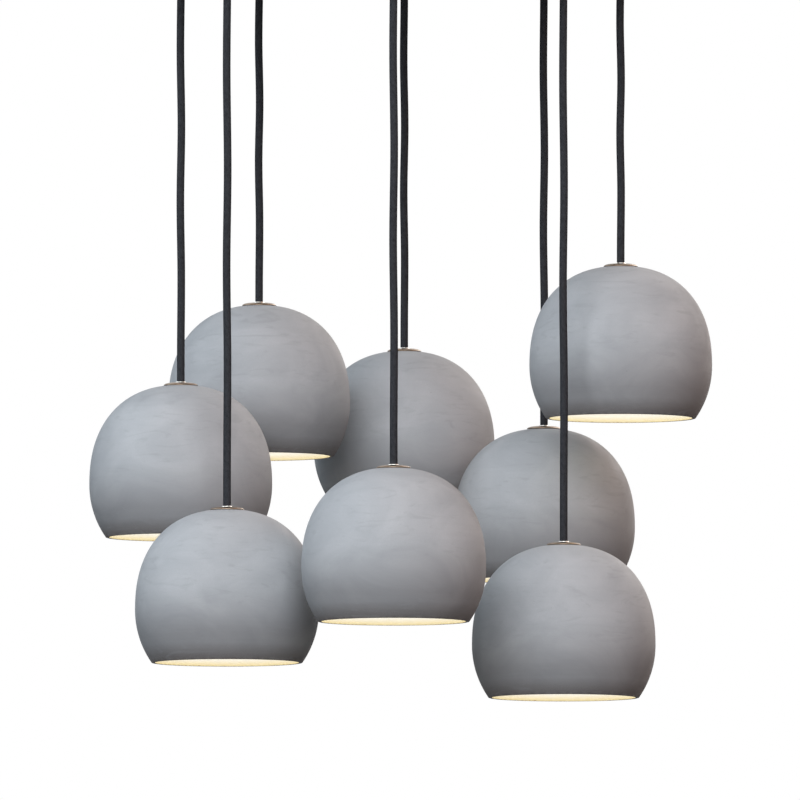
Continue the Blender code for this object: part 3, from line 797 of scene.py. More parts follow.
# %% Make the eight balls
MOULD_ROUND, CASTING_STEP = 0.0005, 0.37
for number in PENDANTS:
    values = SHADE_SIZES | {"Outside rows": 44, "Inside rows": 24, "Columns": 128,
                            "Casting": CASTING_STEP * number, "Concrete": CONCRETE, "Enamel": ENAMEL}
    mesh = grown(BALL_SHADE, values, bevel=MOULD_ROUND)
    shade = finished(f"ball_shade_{number}", mesh, CROWNS[number])
    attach(shade, f"pendant_{number}")
    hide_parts(f"shade_{number}")
print("a ball has", 2 * len(shade.data.polygons), "triangles, materials:",
      [material.name for material in shade.data.materials])

# %% [markdown]
# ## Turned pieces
#
# Caps, holders, bulbs and grips are all turned about their own axis. Each is built from its
# section in a few ring-shaped rows, listed from the top over the outside to the bottom. Corners
# are rounded by short arcs, since an edge with no radius catches no light.

# %% Helpers for turned pieces
def turned_mesh(section, steps=96, bored=False):
    """A turned body from a section of (radius, level) points; a bored one closes its section."""
    shape = bmesh.new()
    kept = shape.verts.layers.float_vector.new(TURNED_PLACE)
    rings = []
    for radius, level in section:
        angles = [math.tau * step / steps for step in range(steps if radius > 0 else 1)]
        places = [(radius * math.cos(angle), radius * math.sin(angle), level) for angle in angles]
        ring = [shape.verts.new(place) for place in places]
        rings.append(ring * steps if radius == 0 else ring)
    following = rings[1:] + rings[:1] if bored else rings[1:]
    for upper, lower in zip(rings, following):
        for step in range(steps):
            after = (step + 1) % steps
            corners = dict.fromkeys((upper[step], lower[step], lower[after], upper[after]))
            shape.faces.new(list(corners))
    for vert in shape.verts:
        vert[kept] = vert.co
    return mesh_of(shape, "turned")


def mesh_of(shape, name):
    mesh = bpy.data.meshes.new(name)
    shape.to_mesh(mesh)
    shape.free()
    return mesh


def cut_out(item, cutters):
    """The plain mesh of an item once each cutter's shape is taken out of it."""
    for cutter in cutters:
        cut = item.modifiers.new("Cut", "BOOLEAN")
        cut.object = cutter
        cut.solver = "EXACT"
    result = evaluated_mesh(item)
    for cutter in cutters:
        bpy.data.objects.remove(cutter, do_unlink=True)
    return result


def arc(radius, level, size, start, end, count=6):
    """Points of a rounded corner, by its centre, its size and its angles in degrees."""
    angles = [math.radians(start + (end - start) * step / (count - 1)) for step in range(count)]
    return [(radius + size * math.cos(angle), level + size * math.sin(angle)) for angle in angles]


def upper_round(radius, level, size, count=6):
    """The rounded corner of a side's upper edge, in the stead of its corner point."""
    return arc(radius - size, level - size, size, 90, 0, count)


def lower_round(radius, level, size, count=6):
    return arc(radius - size, level + size, size, 0, -90, count)


def bore_round(radius, level, size, count=6):
    """The same for the upper edge of a bore."""
    return arc(radius + size, level - size, size, 180, 90, count)


def coat(mesh, material):
    mesh.materials.clear()
    mesh.materials.append(material)


def count_triangles(name, piece):
    print(name, "has", 2 * len(piece.data.polygons), "triangles")


def fit_piece(name, mesh, location, node, body, material=None):
    """Place a finished mesh in the stead of its solid, on the solid's body."""
    if material:
        coat(mesh, material)
    piece = finished(name, mesh, location)
    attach(piece, body)
    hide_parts(node)
    return piece


# %% [markdown]
# ## Satin nickel
#
# The caps are spun from sheet and nickel plated, then brushed on the lathe, so fine rings run
# round them. The plating is painted a dark warm brown, darker where fingers have dulled it; the
# brown stands in for the dark surroundings that nickel reflects, a painted reflection. On the
# caps the boss in the middle is painted bright, a painted highlight under the cord. The nuts are
# brighter all over.

# %% The nickel's material
BRUSHED_ROUGHNESS, HIGHLIGHT_FADE = 0.06, 1.2


def make_nickel(name, place_of, tones, roughness, line_width=0.00012, patch=0.012, highlight_radius=0.0):
    material, tree, shader = new_material(name, Metallic=1.0)
    place = place_of(tree)
    lines = add_effect(LATHE_LINES, Place=place, Line_width=line_width)["Lines"]
    dulled = add_clouds(place, patch, distortion=0.6)
    colour = blend(dulled, *tones)
    # Painted highlight: within this radius the colour is painted bright.
    if highlight_radius:
        flat = add_node(tree, "ShaderNodeVectorMath", {0: place, 1: (1, 1, 0)}, operation="MULTIPLY")
        across = add_node(tree, "ShaderNodeVectorMath", {0: flat[0]}, operation="LENGTH")
        highlight_share = remap(across["Value"], highlight_radius, highlight_radius * HIGHLIGHT_FADE, 1.0, 0.0)
        colour = blend(highlight_share, colour, PAINTED_HIGHLIGHT_TONE)
    feed(shader, "Base Color", colour)
    brushed = lines * BRUSHED_ROUGHNESS
    feed(shader, "Roughness", remap(dulled, 0.0, 1.0, *roughness) + brushed)
    add_bump(shader, lines, distance=0.00004, strength=0.7)
    return material


# The caps' dark brown tones are a painted reflection of dark surroundings, and their bright middle a
# painted highlight.
CAP_REFLECTION_TONES, PAINTED_HIGHLIGHT_TONE = ((0.20, 0.145, 0.105, 1), (0.36, 0.28, 0.21, 1)), (0.86, 0.83, 0.78, 1)
BRIGHT_TONES = (0.50, 0.44, 0.36, 1), (0.60, 0.54, 0.45, 1)
CAP_NICKEL = make_nickel("cap_nickel", own_place, CAP_REFLECTION_TONES, (0.34, 0.24), highlight_radius=0.0060)
NUT_NICKEL = make_nickel("nut_nickel", own_place, BRIGHT_TONES, (0.28, 0.18))
print("nodes in the caps' nickel:", len(CAP_NICKEL.node_tree.nodes))

# %% [markdown]
# ## The caps
#
# A cap is a shallow dome with a boss where the cord comes out, on a hollow stem that goes down
# through the crown of the ball.

# %% Turn the caps
CAP_SIZES = {"radius": 0.0168, "edge": 0.0008, "dome": 0.0023, "boss": 0.0052, "boss height": 0.0008}
CAP_LEVEL = -0.00064
DOME_FULLNESS = 0.55
THROAT, STEM, STEM_END = 0.00445, 0.0065, -0.01964


def cap_section():
    radius, boss = CAP_SIZES["radius"], CAP_SIZES["boss"]
    edge = CAP_LEVEL + CAP_SIZES["edge"]
    top = edge + CAP_SIZES["dome"]
    boss_top = top + CAP_SIZES["boss height"]
    section = bore_round(THROAT, boss_top, 0.0002, 4) + upper_round(boss, boss_top, 0.0006)
    section += arc(boss + 0.0005, top + 0.0005, 0.0005, 180, 260)
    for step in range(1, 13):
        share = step / 13
        across = boss + 0.0005 + (radius - boss - 0.0008) * share
        section.append((across, edge + CAP_SIZES["dome"] * (1 - share ** 2) ** DOME_FULLNESS))
    section += arc(radius - 0.0004, edge - 0.0002, 0.0004, 60, 0, 4)
    section += lower_round(radius, CAP_LEVEL, 0.0003, 4)
    section += [(STEM + 0.0002, CAP_LEVEL), (STEM, CAP_LEVEL - 0.0002)]
    section += [(STEM, STEM_END + 0.0005), (STEM - 0.0005, STEM_END), (THROAT, STEM_END)]
    return section


for number in PENDANTS:
    cap = fit_piece(f"nickel_cap_{number}", turned_mesh(cap_section(), bored=True), CROWNS[number],
                    f"cap_{number}", f"pendant_{number}", CAP_NICKEL)
count_triangles("a cap", cap)

# %% [markdown]
# ## Glazed ceramic and the lampholders
#
# The holder is a glazed ceramic bush under the crown. Its flange clamps the ball from inside, and
# the ribs round its body give fingers a hold while it is screwed on. A small tree spreads the
# ribs round the bush, because the same ring of ribs is used again on other pieces below.

# %% Ceramic and a tree for a ring of ribs
GLAZE_TONES, GLAZE_FLAW = ((0.80, 0.78, 0.73, 1), (0.87, 0.86, 0.82, 1)), (0.30, 0.27, 0.23, 1)


def make_ceramic(name, place_of):
    material, tree, shader = new_material(name, Roughness=0.22, Coat_Weight=0.5, Coat_Roughness=0.12)
    place = place_of(tree)
    glaze = blend(add_clouds(place, 0.008, distortion=0.5), *GLAZE_TONES)
    flaws = add_effect(GRAIN, Place=place, Grain_size=0.0015, Pore_spacing=0.006, Pore_radius=0.00012)
    feed(shader, "Base Color", blend(flaws["Pores"], glaze, GLAZE_FLAW))
    add_bump(shader, flaws["Height"], distance=0.00008, strength=0.4)
    return material


def copies_at(tree, count, place, feeds):
    """Copies of a piece, each at the place that its index gives."""
    points = add_node(tree, "GeometryNodePoints", {"Count": count, "Position": place})
    return add_node(tree, "GeometryNodeInstanceOnPoints", {"Points": points[0]} | feeds)[0]


def make_rib_ring():
    """Upright ribs spread evenly round a turned piece and joined to it."""
    inputs = {"Body": "Geometry", "Count": 18, "Radius": 0.01,
              "Width": 0.001, "Depth": 0.001, "Height": 0.01,
              "Level": 0.0, "Material": "Material"}
    tree, given, result = new_shape("Ring of ribs", inputs)
    count = given["Count"]
    index = add_node(tree, "GeometryNodeInputIndex")[0]
    angle = index / count * math.tau
    place = add_node(tree, "ShaderNodeCombineXYZ", {
        "X": given["Radius"] * calc("COSINE", angle),
        "Y": given["Radius"] * calc("SINE", angle),
        "Z": given["Level"]})[0]
    size = add_node(tree, "ShaderNodeCombineXYZ",
                    {"X": given["Depth"], "Y": given["Width"], "Z": given["Height"]})[0]
    rib = add_node(tree, "GeometryNodeMeshCube", {"Size": size})["Mesh"]
    turn = add_node(tree, "ShaderNodeCombineXYZ", {"Z": angle})[0]
    spread = copies_at(tree, count, place, {"Instance": rib, "Rotation": turn})
    ribs = add_node(tree, "GeometryNodeRealizeInstances", {"Geometry": spread})
    join_to_body(ribs[0], given, result)
    return tree


CERAMIC = make_ceramic("glazed_ceramic", own_place)
RIB_RING = make_rib_ring()
print("nodes in the ring's tree:", len(RIB_RING.nodes))

# %% [markdown]
# ## The lampholders
#
# Under the flange the body is slightly smaller, so that its ribs end flush with it. The stem goes
# in from above, the wires go through the web in the middle, and the bulb's base fills the bore
# from below.

# %% Turn the lampholders
HOLDER_TOP, HOLDER_END, WEB_TOP, SOCKET_TOP = -0.00614, -0.03624, -0.01994, -0.02394
FLANGE_FOOT, FLANGE_RADIUS, BODY_RADIUS = HOLDER_TOP - 0.0025, 0.0150, 0.0118
STEM_BORE, SOCKET_BORE, WIRE_BORE = 0.0069, 0.0077, 0.0025


def holder_section():
    section = upper_round(FLANGE_RADIUS, HOLDER_TOP, 0.0005)
    section += lower_round(FLANGE_RADIUS, FLANGE_FOOT, 0.0005)
    section += [(BODY_RADIUS + 0.0006, FLANGE_FOOT - 0.0002), (BODY_RADIUS, FLANGE_FOOT - 0.0012)]
    section += lower_round(BODY_RADIUS, HOLDER_END, 0.0006)
    section += arc(SOCKET_BORE + 0.0004, HOLDER_END + 0.0004, 0.0004, 270, 180, 4)
    section += [(SOCKET_BORE, SOCKET_TOP), (WIRE_BORE, SOCKET_TOP), (WIRE_BORE, WEB_TOP)]
    return section + [(STEM_BORE, WEB_TOP)] + bore_round(STEM_BORE, HOLDER_TOP, 0.0004, 4)


HOLDER_RIBS = {"Count": 24, "Radius": BODY_RADIUS, "Width": 0.0012, "Depth": 0.0008, "Height": 0.021,
               "Level": -0.0230, "Material": CERAMIC}
for number in PENDANTS:
    mesh = grown(RIB_RING, HOLDER_RIBS, turned_mesh(holder_section(), 72, bored=True), bevel=0.0002)
    holder = fit_piece(f"ceramic_holder_{number}", mesh, CROWNS[number], f"lampholder_{number}",
                       f"pendant_{number}")
count_triangles("a lampholder", holder)

# %% [markdown]
# ## The bulbs
#
# A frosted glass envelope glows warm and lights the white inside. It sits in a ceramic base that
# pushes into the holder. The frost varies a little, so the glow does too.

# %% Turn the bulbs
BULB_GLOW = 1.8
FROST_TONES = (0.95, 0.90, 0.80, 1), (1.0, 0.97, 0.90, 1)
GLOW_TONES = (0.96, 0.75, 0.45, 1), (1.0, 0.80, 0.50, 1)
BASE_TOP, SHOULDER, BULB_END = -0.02424, -0.03654, -0.07454
BASE_RADIUS, NECK_RADIUS, GLASS_RADIUS = 0.0072, 0.0076, 0.0092


def make_frosted_glass():
    material, tree, shader = new_material("frosted_glass", Roughness=0.5, Emission_Strength=BULB_GLOW)
    place = own_place(tree)
    frost = add_clouds(place, (0.006, 0.006, 0.009), distortion=0.4)
    feed(shader, "Base Color", blend(frost, *FROST_TONES))
    feed(shader, "Emission Color", blend(frost, *GLOW_TONES))
    return material


FROSTED_GLASS = make_frosted_glass()
base_section = [(0, BASE_TOP)] + upper_round(BASE_RADIUS, BASE_TOP, 0.0004, 4)
base_section += lower_round(BASE_RADIUS, SHOULDER, 0.0002, 3) + [(0, SHOULDER)]
glass_section = [(0, SHOULDER - 0.0001), (NECK_RADIUS, SHOULDER - 0.0001)]
glass_section += arc(GLASS_RADIUS - 0.0012, SHOULDER - 0.0013, 0.0012, 70, 0)
glass_section += [(GLASS_RADIUS, SHOULDER - 0.0030)]
glass_section += arc(0, BULB_END + GLASS_RADIUS, GLASS_RADIUS, 0, -84, 16) + [(0, BULB_END)]
for number in PENDANTS:
    bulb = fit_piece(f"frosted_bulb_{number}", turned_mesh(glass_section, 64), CROWNS[number],
                     f"bulb_{number}", f"bulb_{number}", FROSTED_GLASS)
    mesh = turned_mesh(base_section, 64)
    coat(mesh, CERAMIC)
    base = finished(f"bulb_base_{number}", mesh, CROWNS[number])
    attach(base, f"bulb_{number}")
count_triangles("a bulb", bulb)

# %% [markdown]
# ## The cord grips
#
# Each port of the canopy has a moulded bush that opens downwards like a bell, so a swinging cord
# bends over a smooth lip and isn't cut by the sheet. Ribs round its flange give a hold.

# %% Turn the grips
NYLON_TONES, NYLON_ROUGHNESS = ((0.026, 0.026, 0.028, 1), (0.040, 0.040, 0.043, 1)), (0.38, 0.52)


def make_nylon():
    material, tree, shader = new_material("moulded_nylon", Specular_IOR_Level=0.4)
    place = own_place(tree)
    grain = add_effect(GRAIN, Place=place, Grain_size=0.0005, Pore_spacing=0.02, Pore_radius=0.0001)
    feed(shader, "Base Color", blend(grain["Grain"], *NYLON_TONES))
    feed(shader, "Roughness", remap(grain["Grain"], NOISE_LOW, NOISE_HIGH, *NYLON_ROUGHNESS))
    add_bump(shader, grain["Height"], distance=0.00008, strength=0.5)
    return material


NYLON = make_nylon()
GRIP_TOP, FLANGE_BASE, GRIP_END = 0.0048, 0.0018, -0.008
GRIP_OUTSIDE, GRIP_FLANGE = 0.008809, 0.012509


def grip_section():
    section = bore_round(THROAT, GRIP_TOP, 0.0006) + upper_round(GRIP_FLANGE, GRIP_TOP, 0.0006)
    section += lower_round(GRIP_FLANGE, FLANGE_BASE, 0.0003, 4)
    section += [(GRIP_OUTSIDE + 0.0002, FLANGE_BASE), (GRIP_OUTSIDE, FLANGE_BASE - 0.0002)]
    section += arc(GRIP_OUTSIDE - 0.0006, GRIP_END + 0.0006, 0.0006, 0, -160, 8)
    return section + [(THROAT, 0.0)]


GRIP_RIBS = {"Count": 20, "Radius": GRIP_FLANGE - 0.0002, "Width": 0.0012, "Depth": 0.0012,
             "Height": 0.0022, "Level": 0.0032, "Material": NYLON}
for number in PENDANTS:
    mesh = grown(RIB_RING, GRIP_RIBS, turned_mesh(grip_section(), 72, bored=True), bevel=0.0002)
    grip = fit_piece(f"nylon_grip_{number}", mesh, PIVOTS[number], f"cord_grip_{number}", "canopy")
count_triangles("a grip", grip)

# %% [markdown]
# ## The canopy
#
# The cover is spun from nickel-plated sheet, with a duller and larger pattern than the caps. It
# is turned here as a smooth pan. The ports for the grips and the two stud holes are then cut
# with Boolean modifiers, as a punch would.

# %% Turn and punch the canopy
PLATE_UNDERSIDE, SHEET, COVER_RADIUS, COVER_CORNER, COVER_RIM = -0.045, 0.0015, 0.29996, 0.006, -0.0005
STUD_PLACES = ((-0.13, 0.0), (0.13, 0.0))
PORT_RADIUS, STUD_HOLE, PUNCH_LOW, PUNCH_HIGH = GRIP_OUTSIDE + 0.0004, 0.0034, -0.05, -0.04
COVER_TONES = (0.40, 0.35, 0.285, 1), (0.48, 0.43, 0.355, 1)


def punch_at(place, radius):
    """A round punch through the sheet at a place."""
    tool = [(0, PUNCH_HIGH), (radius, PUNCH_HIGH), (radius, PUNCH_LOW), (0, PUNCH_LOW)]
    return finished("punch", turned_mesh(tool, 64), (place[0], place[1], 0))


centre = (COVER_RADIUS - COVER_CORNER, PLATE_UNDERSIDE + COVER_CORNER)
rim_round = SHEET / 2
section = [(0, PLATE_UNDERSIDE + SHEET)] + arc(*centre, COVER_CORNER - SHEET, -90, 0, 9)
section += arc(COVER_RADIUS - rim_round, COVER_RIM - rim_round, rim_round, 180, 0, 9)
section += lower_round(COVER_RADIUS, PLATE_UNDERSIDE, COVER_CORNER, 11) + [(0, PLATE_UNDERSIDE)]
punches = [punch_at(PIVOTS[number], PORT_RADIUS) for number in PENDANTS]
punches += [punch_at(place, STUD_HOLE) for place in STUD_PLACES]
mesh = cut_out(new_item("pan", turned_mesh(section, 192)), punches)
COVER_NICKEL = make_nickel("canopy_nickel", object_place, COVER_TONES, (0.60, 0.52),
                           line_width=0.0006, patch=0.11)
canopy = fit_piece("canopy_pan", mesh, (0, 0, 0), "canopy_cover", "canopy", COVER_NICKEL)
print("the canopy has", len(canopy.data.polygons), "faces")

# %% [markdown]
# ## Studs, nuts and screws
#
# The two studs are threaded steel. A small tree winds a ridge round a plain post to thread it.
# The nuts that hold the cover up are knurled with the same ring of ribs as before, only finer.

# %% Zinc plate and the thread
ZINC_TONES = (0.50, 0.51, 0.53, 1), (0.64, 0.65, 0.66, 1)
BRASS_TONES = (0.58, 0.42, 0.17, 1), (0.76, 0.58, 0.28, 1)
PLATE_ROUGHNESS, RIDGE_SHARE = (0.30, 0.44), 0.4


def make_plated(name, tones, place_of):
    """Plated steel or brass: faint crystal clouds and fine scratches."""
    material, tree, shader = new_material(name, Metallic=1.0)
    place = place_of(tree)
    clouds = add_clouds(place, 0.006, distortion=1.5)
    lines = add_clouds(place, (0.02, 0.0004, 0.0004))
    feed(shader, "Base Color", blend(clouds, *tones))
    feed(shader, "Roughness", remap(lines, 0.0, 1.0, *PLATE_ROUGHNESS))
    add_bump(shader, lines, distance=0.00002, strength=0.4)
    return material


def make_thread():
    """A ridge wound round a post, joined to it."""
    inputs = {"Body": "Geometry", "Radius": 0.003, "Pitch": 0.001,
              "Turns": 10.0, "Level": 0.0, "Material": "Material"}
    tree, given, result = new_shape("Thread", inputs)
    height = given["Pitch"] * given["Turns"]
    spiral = add_node(tree, "GeometryNodeCurveSpiral", {
        "Resolution": 24, "Rotations": given["Turns"], "Start Radius": given["Radius"],
        "End Radius": given["Radius"], "Height": height})
    ridge = add_node(tree, "GeometryNodeCurvePrimitiveCircle",
                     {"Resolution": 4, "Radius": given["Pitch"] * RIDGE_SHARE})
    wound = add_node(tree, "GeometryNodeCurveToMesh", {
        "Curve": spiral[0], "Profile Curve": ridge["Curve"], "Fill Caps": True})
    offset = add_node(tree, "ShaderNodeCombineXYZ", {"Z": given["Level"]})[0]
    placed = add_node(tree, "GeometryNodeSetPosition", {"Geometry": wound[0], "Offset": offset})
    join_to_body(placed[0], given, result)
    return tree


ZINC = make_plated("zinc_plate", ZINC_TONES, own_place)
THREAD = make_thread()
print("nodes in the thread's tree:", len(THREAD.nodes))

# %% Studs and nuts
STUD_TOP, STUD_END, STUD_CORE = -0.0033, -0.053, 0.0027
NUT_SEAT, NUT_FLOOR, NUT_TIP, NUT_BORE, NUT_BODY = -0.0453, -0.0533, -0.0563, 0.0034, 0.0077
stud_section = [(0, STUD_TOP), (0.003, STUD_TOP), (0.003, STUD_TOP - 0.004), (STUD_CORE, STUD_TOP - 0.0043),
                (STUD_CORE, STUD_END + 0.0004), (STUD_CORE - 0.0004, STUD_END), (0, STUD_END)]
nut_section = [(0, NUT_FLOOR), (NUT_BORE, NUT_FLOOR), (NUT_BORE, NUT_SEAT)]
nut_section += upper_round(NUT_BODY, NUT_SEAT, 0.0005, 4)
nut_section += lower_round(NUT_BODY, NUT_TIP, 0.0030, 7) + [(0, NUT_TIP)]
threading = {"Radius": STUD_CORE - 0.0001, "Pitch": 0.001, "Turns": 44.0, "Level": STUD_END + 0.0006,
             "Material": ZINC}
knurling = {"Count": 48, "Radius": NUT_BODY - 0.0001, "Width": 0.0006, "Depth": 0.0008, "Height": 0.0065,
            "Level": NUT_SEAT - 0.0042, "Material": NUT_NICKEL}
for number, place in enumerate(STUD_PLACES, start=1):
    here = (*place, 0)
    post = grown(THREAD, threading, turned_mesh(stud_section, 32))
    fit_piece(f"threaded_stud_{number}", post, here, f"cover_stud_{number}", "canopy")
    knurled = grown(RIB_RING, knurling, turned_mesh(nut_section, 72), bevel=0.00015)
    nut = fit_piece(f"knurled_nut_{number}", knurled, here, f"cover_nut_{number}", "canopy")
count_triangles("a nut", nut)

# %% [markdown]
# ## Screws and the terminal block
#
# The earth screw and the three clamp screws are brass with a slotted head. One clamp screw is
# modelled and the tree sets out the row, one for each well of the ceramic block.

# %% A slotted screw and a row of them
BRASS = make_plated("brass_plate", BRASS_TONES, own_place)
SLOT_LENGTH, SLOT_WIDTH, SLOT_DEPTH = 0.02, 0.0007, 0.0012


def slotted(section, level):
    """A turned screw with a slot cut across its head; the bar that cuts it is centred on a level."""
    bar = bmesh.new()
    size = Matrix.Diagonal((SLOT_LENGTH, SLOT_WIDTH, SLOT_DEPTH, 1))
    bmesh.ops.create_cube(bar, size=1.0, matrix=Matrix.Translation((0, 0, level)) @ size)
    return cut_out(new_item("screw", turned_mesh(section, 40)), [new_item("bar", mesh_of(bar, "bar"))])


def make_row():
    """Copies of a piece in a straight row along X, spread about its middle."""
    inputs = {"Piece": "Geometry", "Count": 3, "Spacing": 0.01, "Material": "Material"}
    tree, given, result = new_shape("Row of pieces", inputs)
    index = add_node(tree, "GeometryNodeInputIndex")[0]
    middle = (given["Count"] - 1.0) / 2.0
    along = (index - middle) * given["Spacing"]
    place = add_node(tree, "ShaderNodeCombineXYZ", {"X": along})[0]
    spread = copies_at(tree, given["Count"], place, {"Instance": given["Piece"]})
    feed(result, "Geometry", coated(spread, given["Material"]))
    return tree


ROW = make_row()
print("nodes in the row's tree:", len(ROW.nodes))

# %% Screws, bracket and terminal block
EARTH_PLACE = (0.14, 0.01, 0)
SCREW_TOP, SCREW_RADIUS, HEAD_TOP, HEAD_END, HEAD_RADIUS = -0.0005, 0.002, -0.0033, -0.0059, 0.0042
earth_section = [(0, SCREW_TOP), (SCREW_RADIUS - 0.0003, SCREW_TOP), (SCREW_RADIUS, SCREW_TOP - 0.0003)]
earth_section += [(SCREW_RADIUS, HEAD_TOP)] + upper_round(HEAD_RADIUS, HEAD_TOP, 0.0003, 4)
earth_section += lower_round(HEAD_RADIUS, HEAD_END, 0.0010) + [(0, HEAD_END)]
fit_piece("slotted_earth_screw", slotted(earth_section, HEAD_END), EARTH_PLACE, "earth_screw", "canopy",
          BRASS)

block_low, block_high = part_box("terminal_block")
block_middle = (block_low + block_high) / 2
well_floor = block_high.z - 0.005
POLES, CLAMP_RADIUS, CLAMP_TOP, CLAMP_FOOT = 3, 0.0024, 0.0024, 0.0002
clamp_section = [(0, CLAMP_TOP)] + upper_round(CLAMP_RADIUS, CLAMP_TOP, 0.0006, 5)
clamp_section += [(CLAMP_RADIUS, CLAMP_FOOT), (0, CLAMP_FOOT)]
row_values = {"Count": POLES, "Spacing": (block_high.x - block_low.x) / POLES, "Material": BRASS}
clamps = finished("clamp_screws", grown(ROW, row_values, slotted(clamp_section, CLAMP_TOP)),
                  (block_middle.x, block_middle.y, well_floor))
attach(clamps, "canopy")

BLOCK_CERAMIC = make_ceramic("block_ceramic", object_place)
STRAP_ZINC = make_plated("strap_zinc", ZINC_TONES, object_place)
for node, material in (("terminal_block", BLOCK_CERAMIC), ("ceiling_bracket", STRAP_ZINC)):
    coat(scene.objects[node].data, material)
print("clamp screws:", POLES)

# %% [markdown]
# ## The leads inside the canopy
#
# Inside the canopy the leads run bare, without their fabric. They come up from the grips, bend
# over, and lie on the plate on their way to one moulded splice. The same tree as for the cords
# grows them, now with smooth sides. A short lead goes on from the splice to the terminal block.

# %% Lay the leads
LEAD_RADIUS, LEAD_STEP, LEAD_LIE, LEAD_START, BEND_REACH, BEND_RISE = (
    0.0025, 0.0035, -0.0407, 0.004134, 0.040, 0.010)
SLEEVE_TONES, SLEEVE_ROUGHNESS = ((0.032, 0.032, 0.034, 1), (0.052, 0.052, 0.055, 1)), (0.34, 0.50)
BEND = ((0.0, 0.45), (0.08, 0.85), (0.28, 1.0), (0.60, 0.72), (0.95, 0.22), (1.4, 0.0))
SPLICE = Vector((0, 0.062, 0))
SPLICE_RADIUS, SPLICE_FOOT, SPLICE_HEIGHT = 0.016, -0.0432, 0.016


def lead_route(port):
    """From a port up out of its grip, over a bend, and along the plate into the splice."""
    inwards = (SPLICE - Vector((port.x, port.y, 0))).normalized()
    places = [Vector((0, 0, port.z + LEAD_START))]
    for reach, rise in BEND:
        places.append(inwards * (BEND_REACH * reach) + Vector((0, 0, LEAD_LIE + BEND_RISE * rise)))
    end = SPLICE - inwards * (SPLICE_RADIUS / 2) + Vector((0, 0, LEAD_LIE))
    return [place + Vector((port.x, port.y, 0)) for place in places] + [end]


def make_sleeving():
    """Black PVC: nearly smooth, with a faint length-wise drawing mark."""
    material, tree, shader = new_material("black_sleeving", Specular_IOR_Level=0.45)
    way = add_node(tree, "ShaderNodeAttribute", attribute_name=THREAD_WAY)["Vector"]
    marks = add_clouds(way, (0.12, 0.12, 0.02))
    feed(shader, "Base Color", blend(marks, *SLEEVE_TONES))
    feed(shader, "Roughness", remap(marks, 0.0, 1.0, *SLEEVE_ROUGHNESS))
    add_bump(shader, marks, distance=0.00005, strength=0.4)
    return material


ENTRY, ENTRY_GAP = -0.02392, 0.0003
supply_end = block_low.y - ENTRY_GAP
supply_places = ((ENTRY / 4, SPLICE.y + SPLICE_RADIUS / 2), (ENTRY, supply_end - SPLICE_RADIUS),
                 (ENTRY, supply_end))
supply = [Vector((*place, LEAD_LIE)) for place in supply_places]
lead_routes = [lead_route(PIVOTS[number]) for number in PENDANTS] + [supply]
SLEEVING = make_sleeving()
lead_values = {"Radius": LEAD_RADIUS, "Stitch length": LEAD_STEP, "Sides": 20, "Relief": 0.0,
               "Material": SLEEVING}
leads = finished("lead_set", grown(BRAIDED_CORD, lead_values, curve_of("leads", lead_routes)), crease=1.2)
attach(leads, "canopy")
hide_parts("lead_loom")
print("the leads have", 2 * len(leads.data.polygons), "triangles")

# %% Mould the splice
splice_body = SPLICE_RADIUS - 0.0006
splice_section = [(0, SPLICE_HEIGHT)] + upper_round(splice_body, SPLICE_HEIGHT, 0.0020)
splice_section += lower_round(splice_body, 0, 0.0005, 4) + [(0, 0)]
splice_ribs = {"Count": 30, "Radius": splice_body, "Width": 0.0014, "Depth": 0.0012,
               "Height": 0.0105, "Level": 0.0065, "Material": NYLON}
splice_place = SPLICE + Vector((0, 0, SPLICE_FOOT))
splice = finished("moulded_splice", grown(RIB_RING, splice_ribs, turned_mesh(splice_section), bevel=0.0002),
                  splice_place)
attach(splice, "canopy")
print("the splice has", len(splice.data.polygons), "faces")

# %% [markdown]
# ## Floor and light
#
# The room is plain: a pale floor far below, a white background, and soft lamps. A very wide cool
# lamp hangs in front and a smaller one at the left, so that no ball throws a hard shadow on the
# next. A weak warm one stands at the right, and one behind lights the back. The photo's balls
# are dark underneath, so neither the floor nor the background throws much light up at them: both
# are pale only to the camera and in reflections.

# %% Floor
FLOOR_LEVEL, FLOOR_REACH = -2.5, 40.0
FLOOR_THROWN, FLOOR_SEEN = (0.12, 0.12, 0.12, 1), (0.82, 0.82, 0.81, 1)


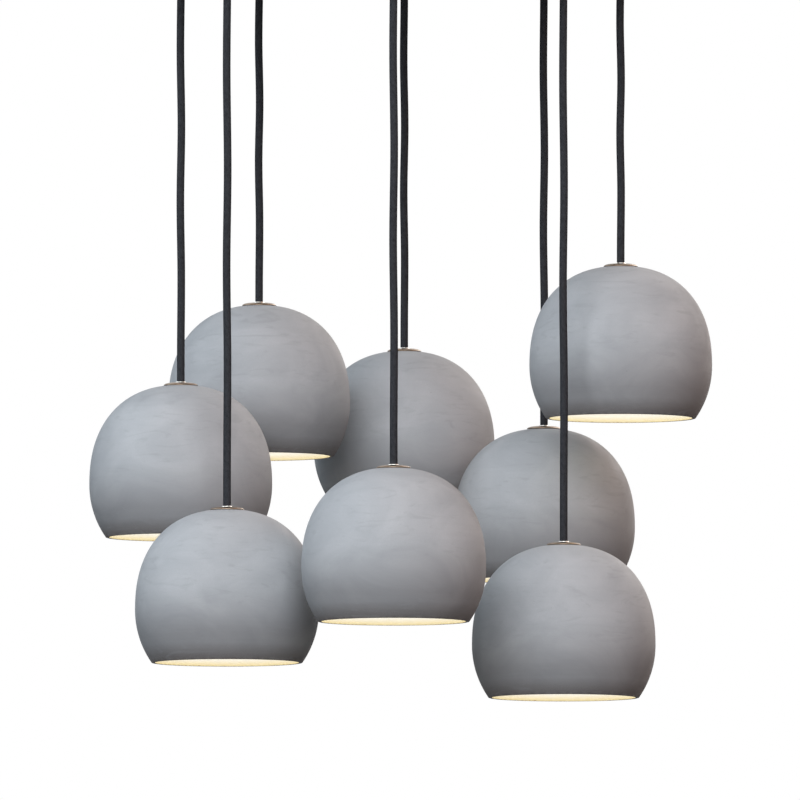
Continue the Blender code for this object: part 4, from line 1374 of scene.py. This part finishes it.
def make_floor():
    mesh = bpy.data.meshes.new("floor")
    sides = ((-1, -1), (1, -1), (1, 1), (-1, 1))
    corners = [(x * FLOOR_REACH, y * FLOOR_REACH, FLOOR_LEVEL) for x, y in sides]
    mesh.from_pydata(corners, [], [(0, 1, 2, 3)])
    material, tree, shader = new_material("pale_floor", Roughness=0.8)
    colour = blend(seen_directly(tree), FLOOR_THROWN, FLOOR_SEEN)
    feed(shader, "Base Color", colour)
    coat(mesh, material)
    return new_item("floor", mesh)


make_floor()
print("floor at", FLOOR_LEVEL, "m")

# %% Lamps
def add_lamp(name, place, size, power, colour):
    """A square lamp at a place beside the subject, turned towards it."""
    light = bpy.data.lights.new(name, "AREA")
    light.shape = "SQUARE"
    light.size = size
    light.energy = power
    light.color = colour
    lamp = new_item(name, light)
    lamp.location = subject + Vector(place)
    lamp.rotation_euler = (-Vector(place)).to_track_quat("-Z", "Y").to_euler()


add_lamp("front_lamp", place=(-0.7, -4.4, 1.9), size=5.0, power=320, colour=(0.94, 0.96, 1.0))
add_lamp("left_lamp", place=(-3.7, 0.2, 2.0), size=3.0, power=84, colour=(0.74, 0.88, 1.0))
add_lamp("warm_lamp", place=(3.2, -1.0, 1.6), size=1.6, power=22, colour=(1.0, 0.42, 0.20))
add_lamp("back_lamp", place=(2.4, 3.0, 1.8), size=2.4, power=120, colour=(1.0, 0.97, 0.94))

# %% Background
AMBIENT, WHITE = (0.07, 0.067, 0.066, 1), (1, 1, 1, 1)


def make_world():
    world = bpy.data.worlds.new("studio")
    world.use_nodes = True
    tree = world.node_tree
    tree.nodes.clear()
    ambient = add_node(tree, "ShaderNodeBackground", {"Color": AMBIENT, "Strength": 1.0})
    white = add_node(tree, "ShaderNodeBackground", {"Color": WHITE, "Strength": 1.0})
    both = add_node(tree, "ShaderNodeMixShader", {0: seen_directly(tree), 1: ambient[0], 2: white[0]})
    add_node(tree, "ShaderNodeOutputWorld", {"Surface": both[0]})
    scene.world = world


make_world()
scene.view_settings.view_transform = "Standard"
print("background:", scene.world.name)
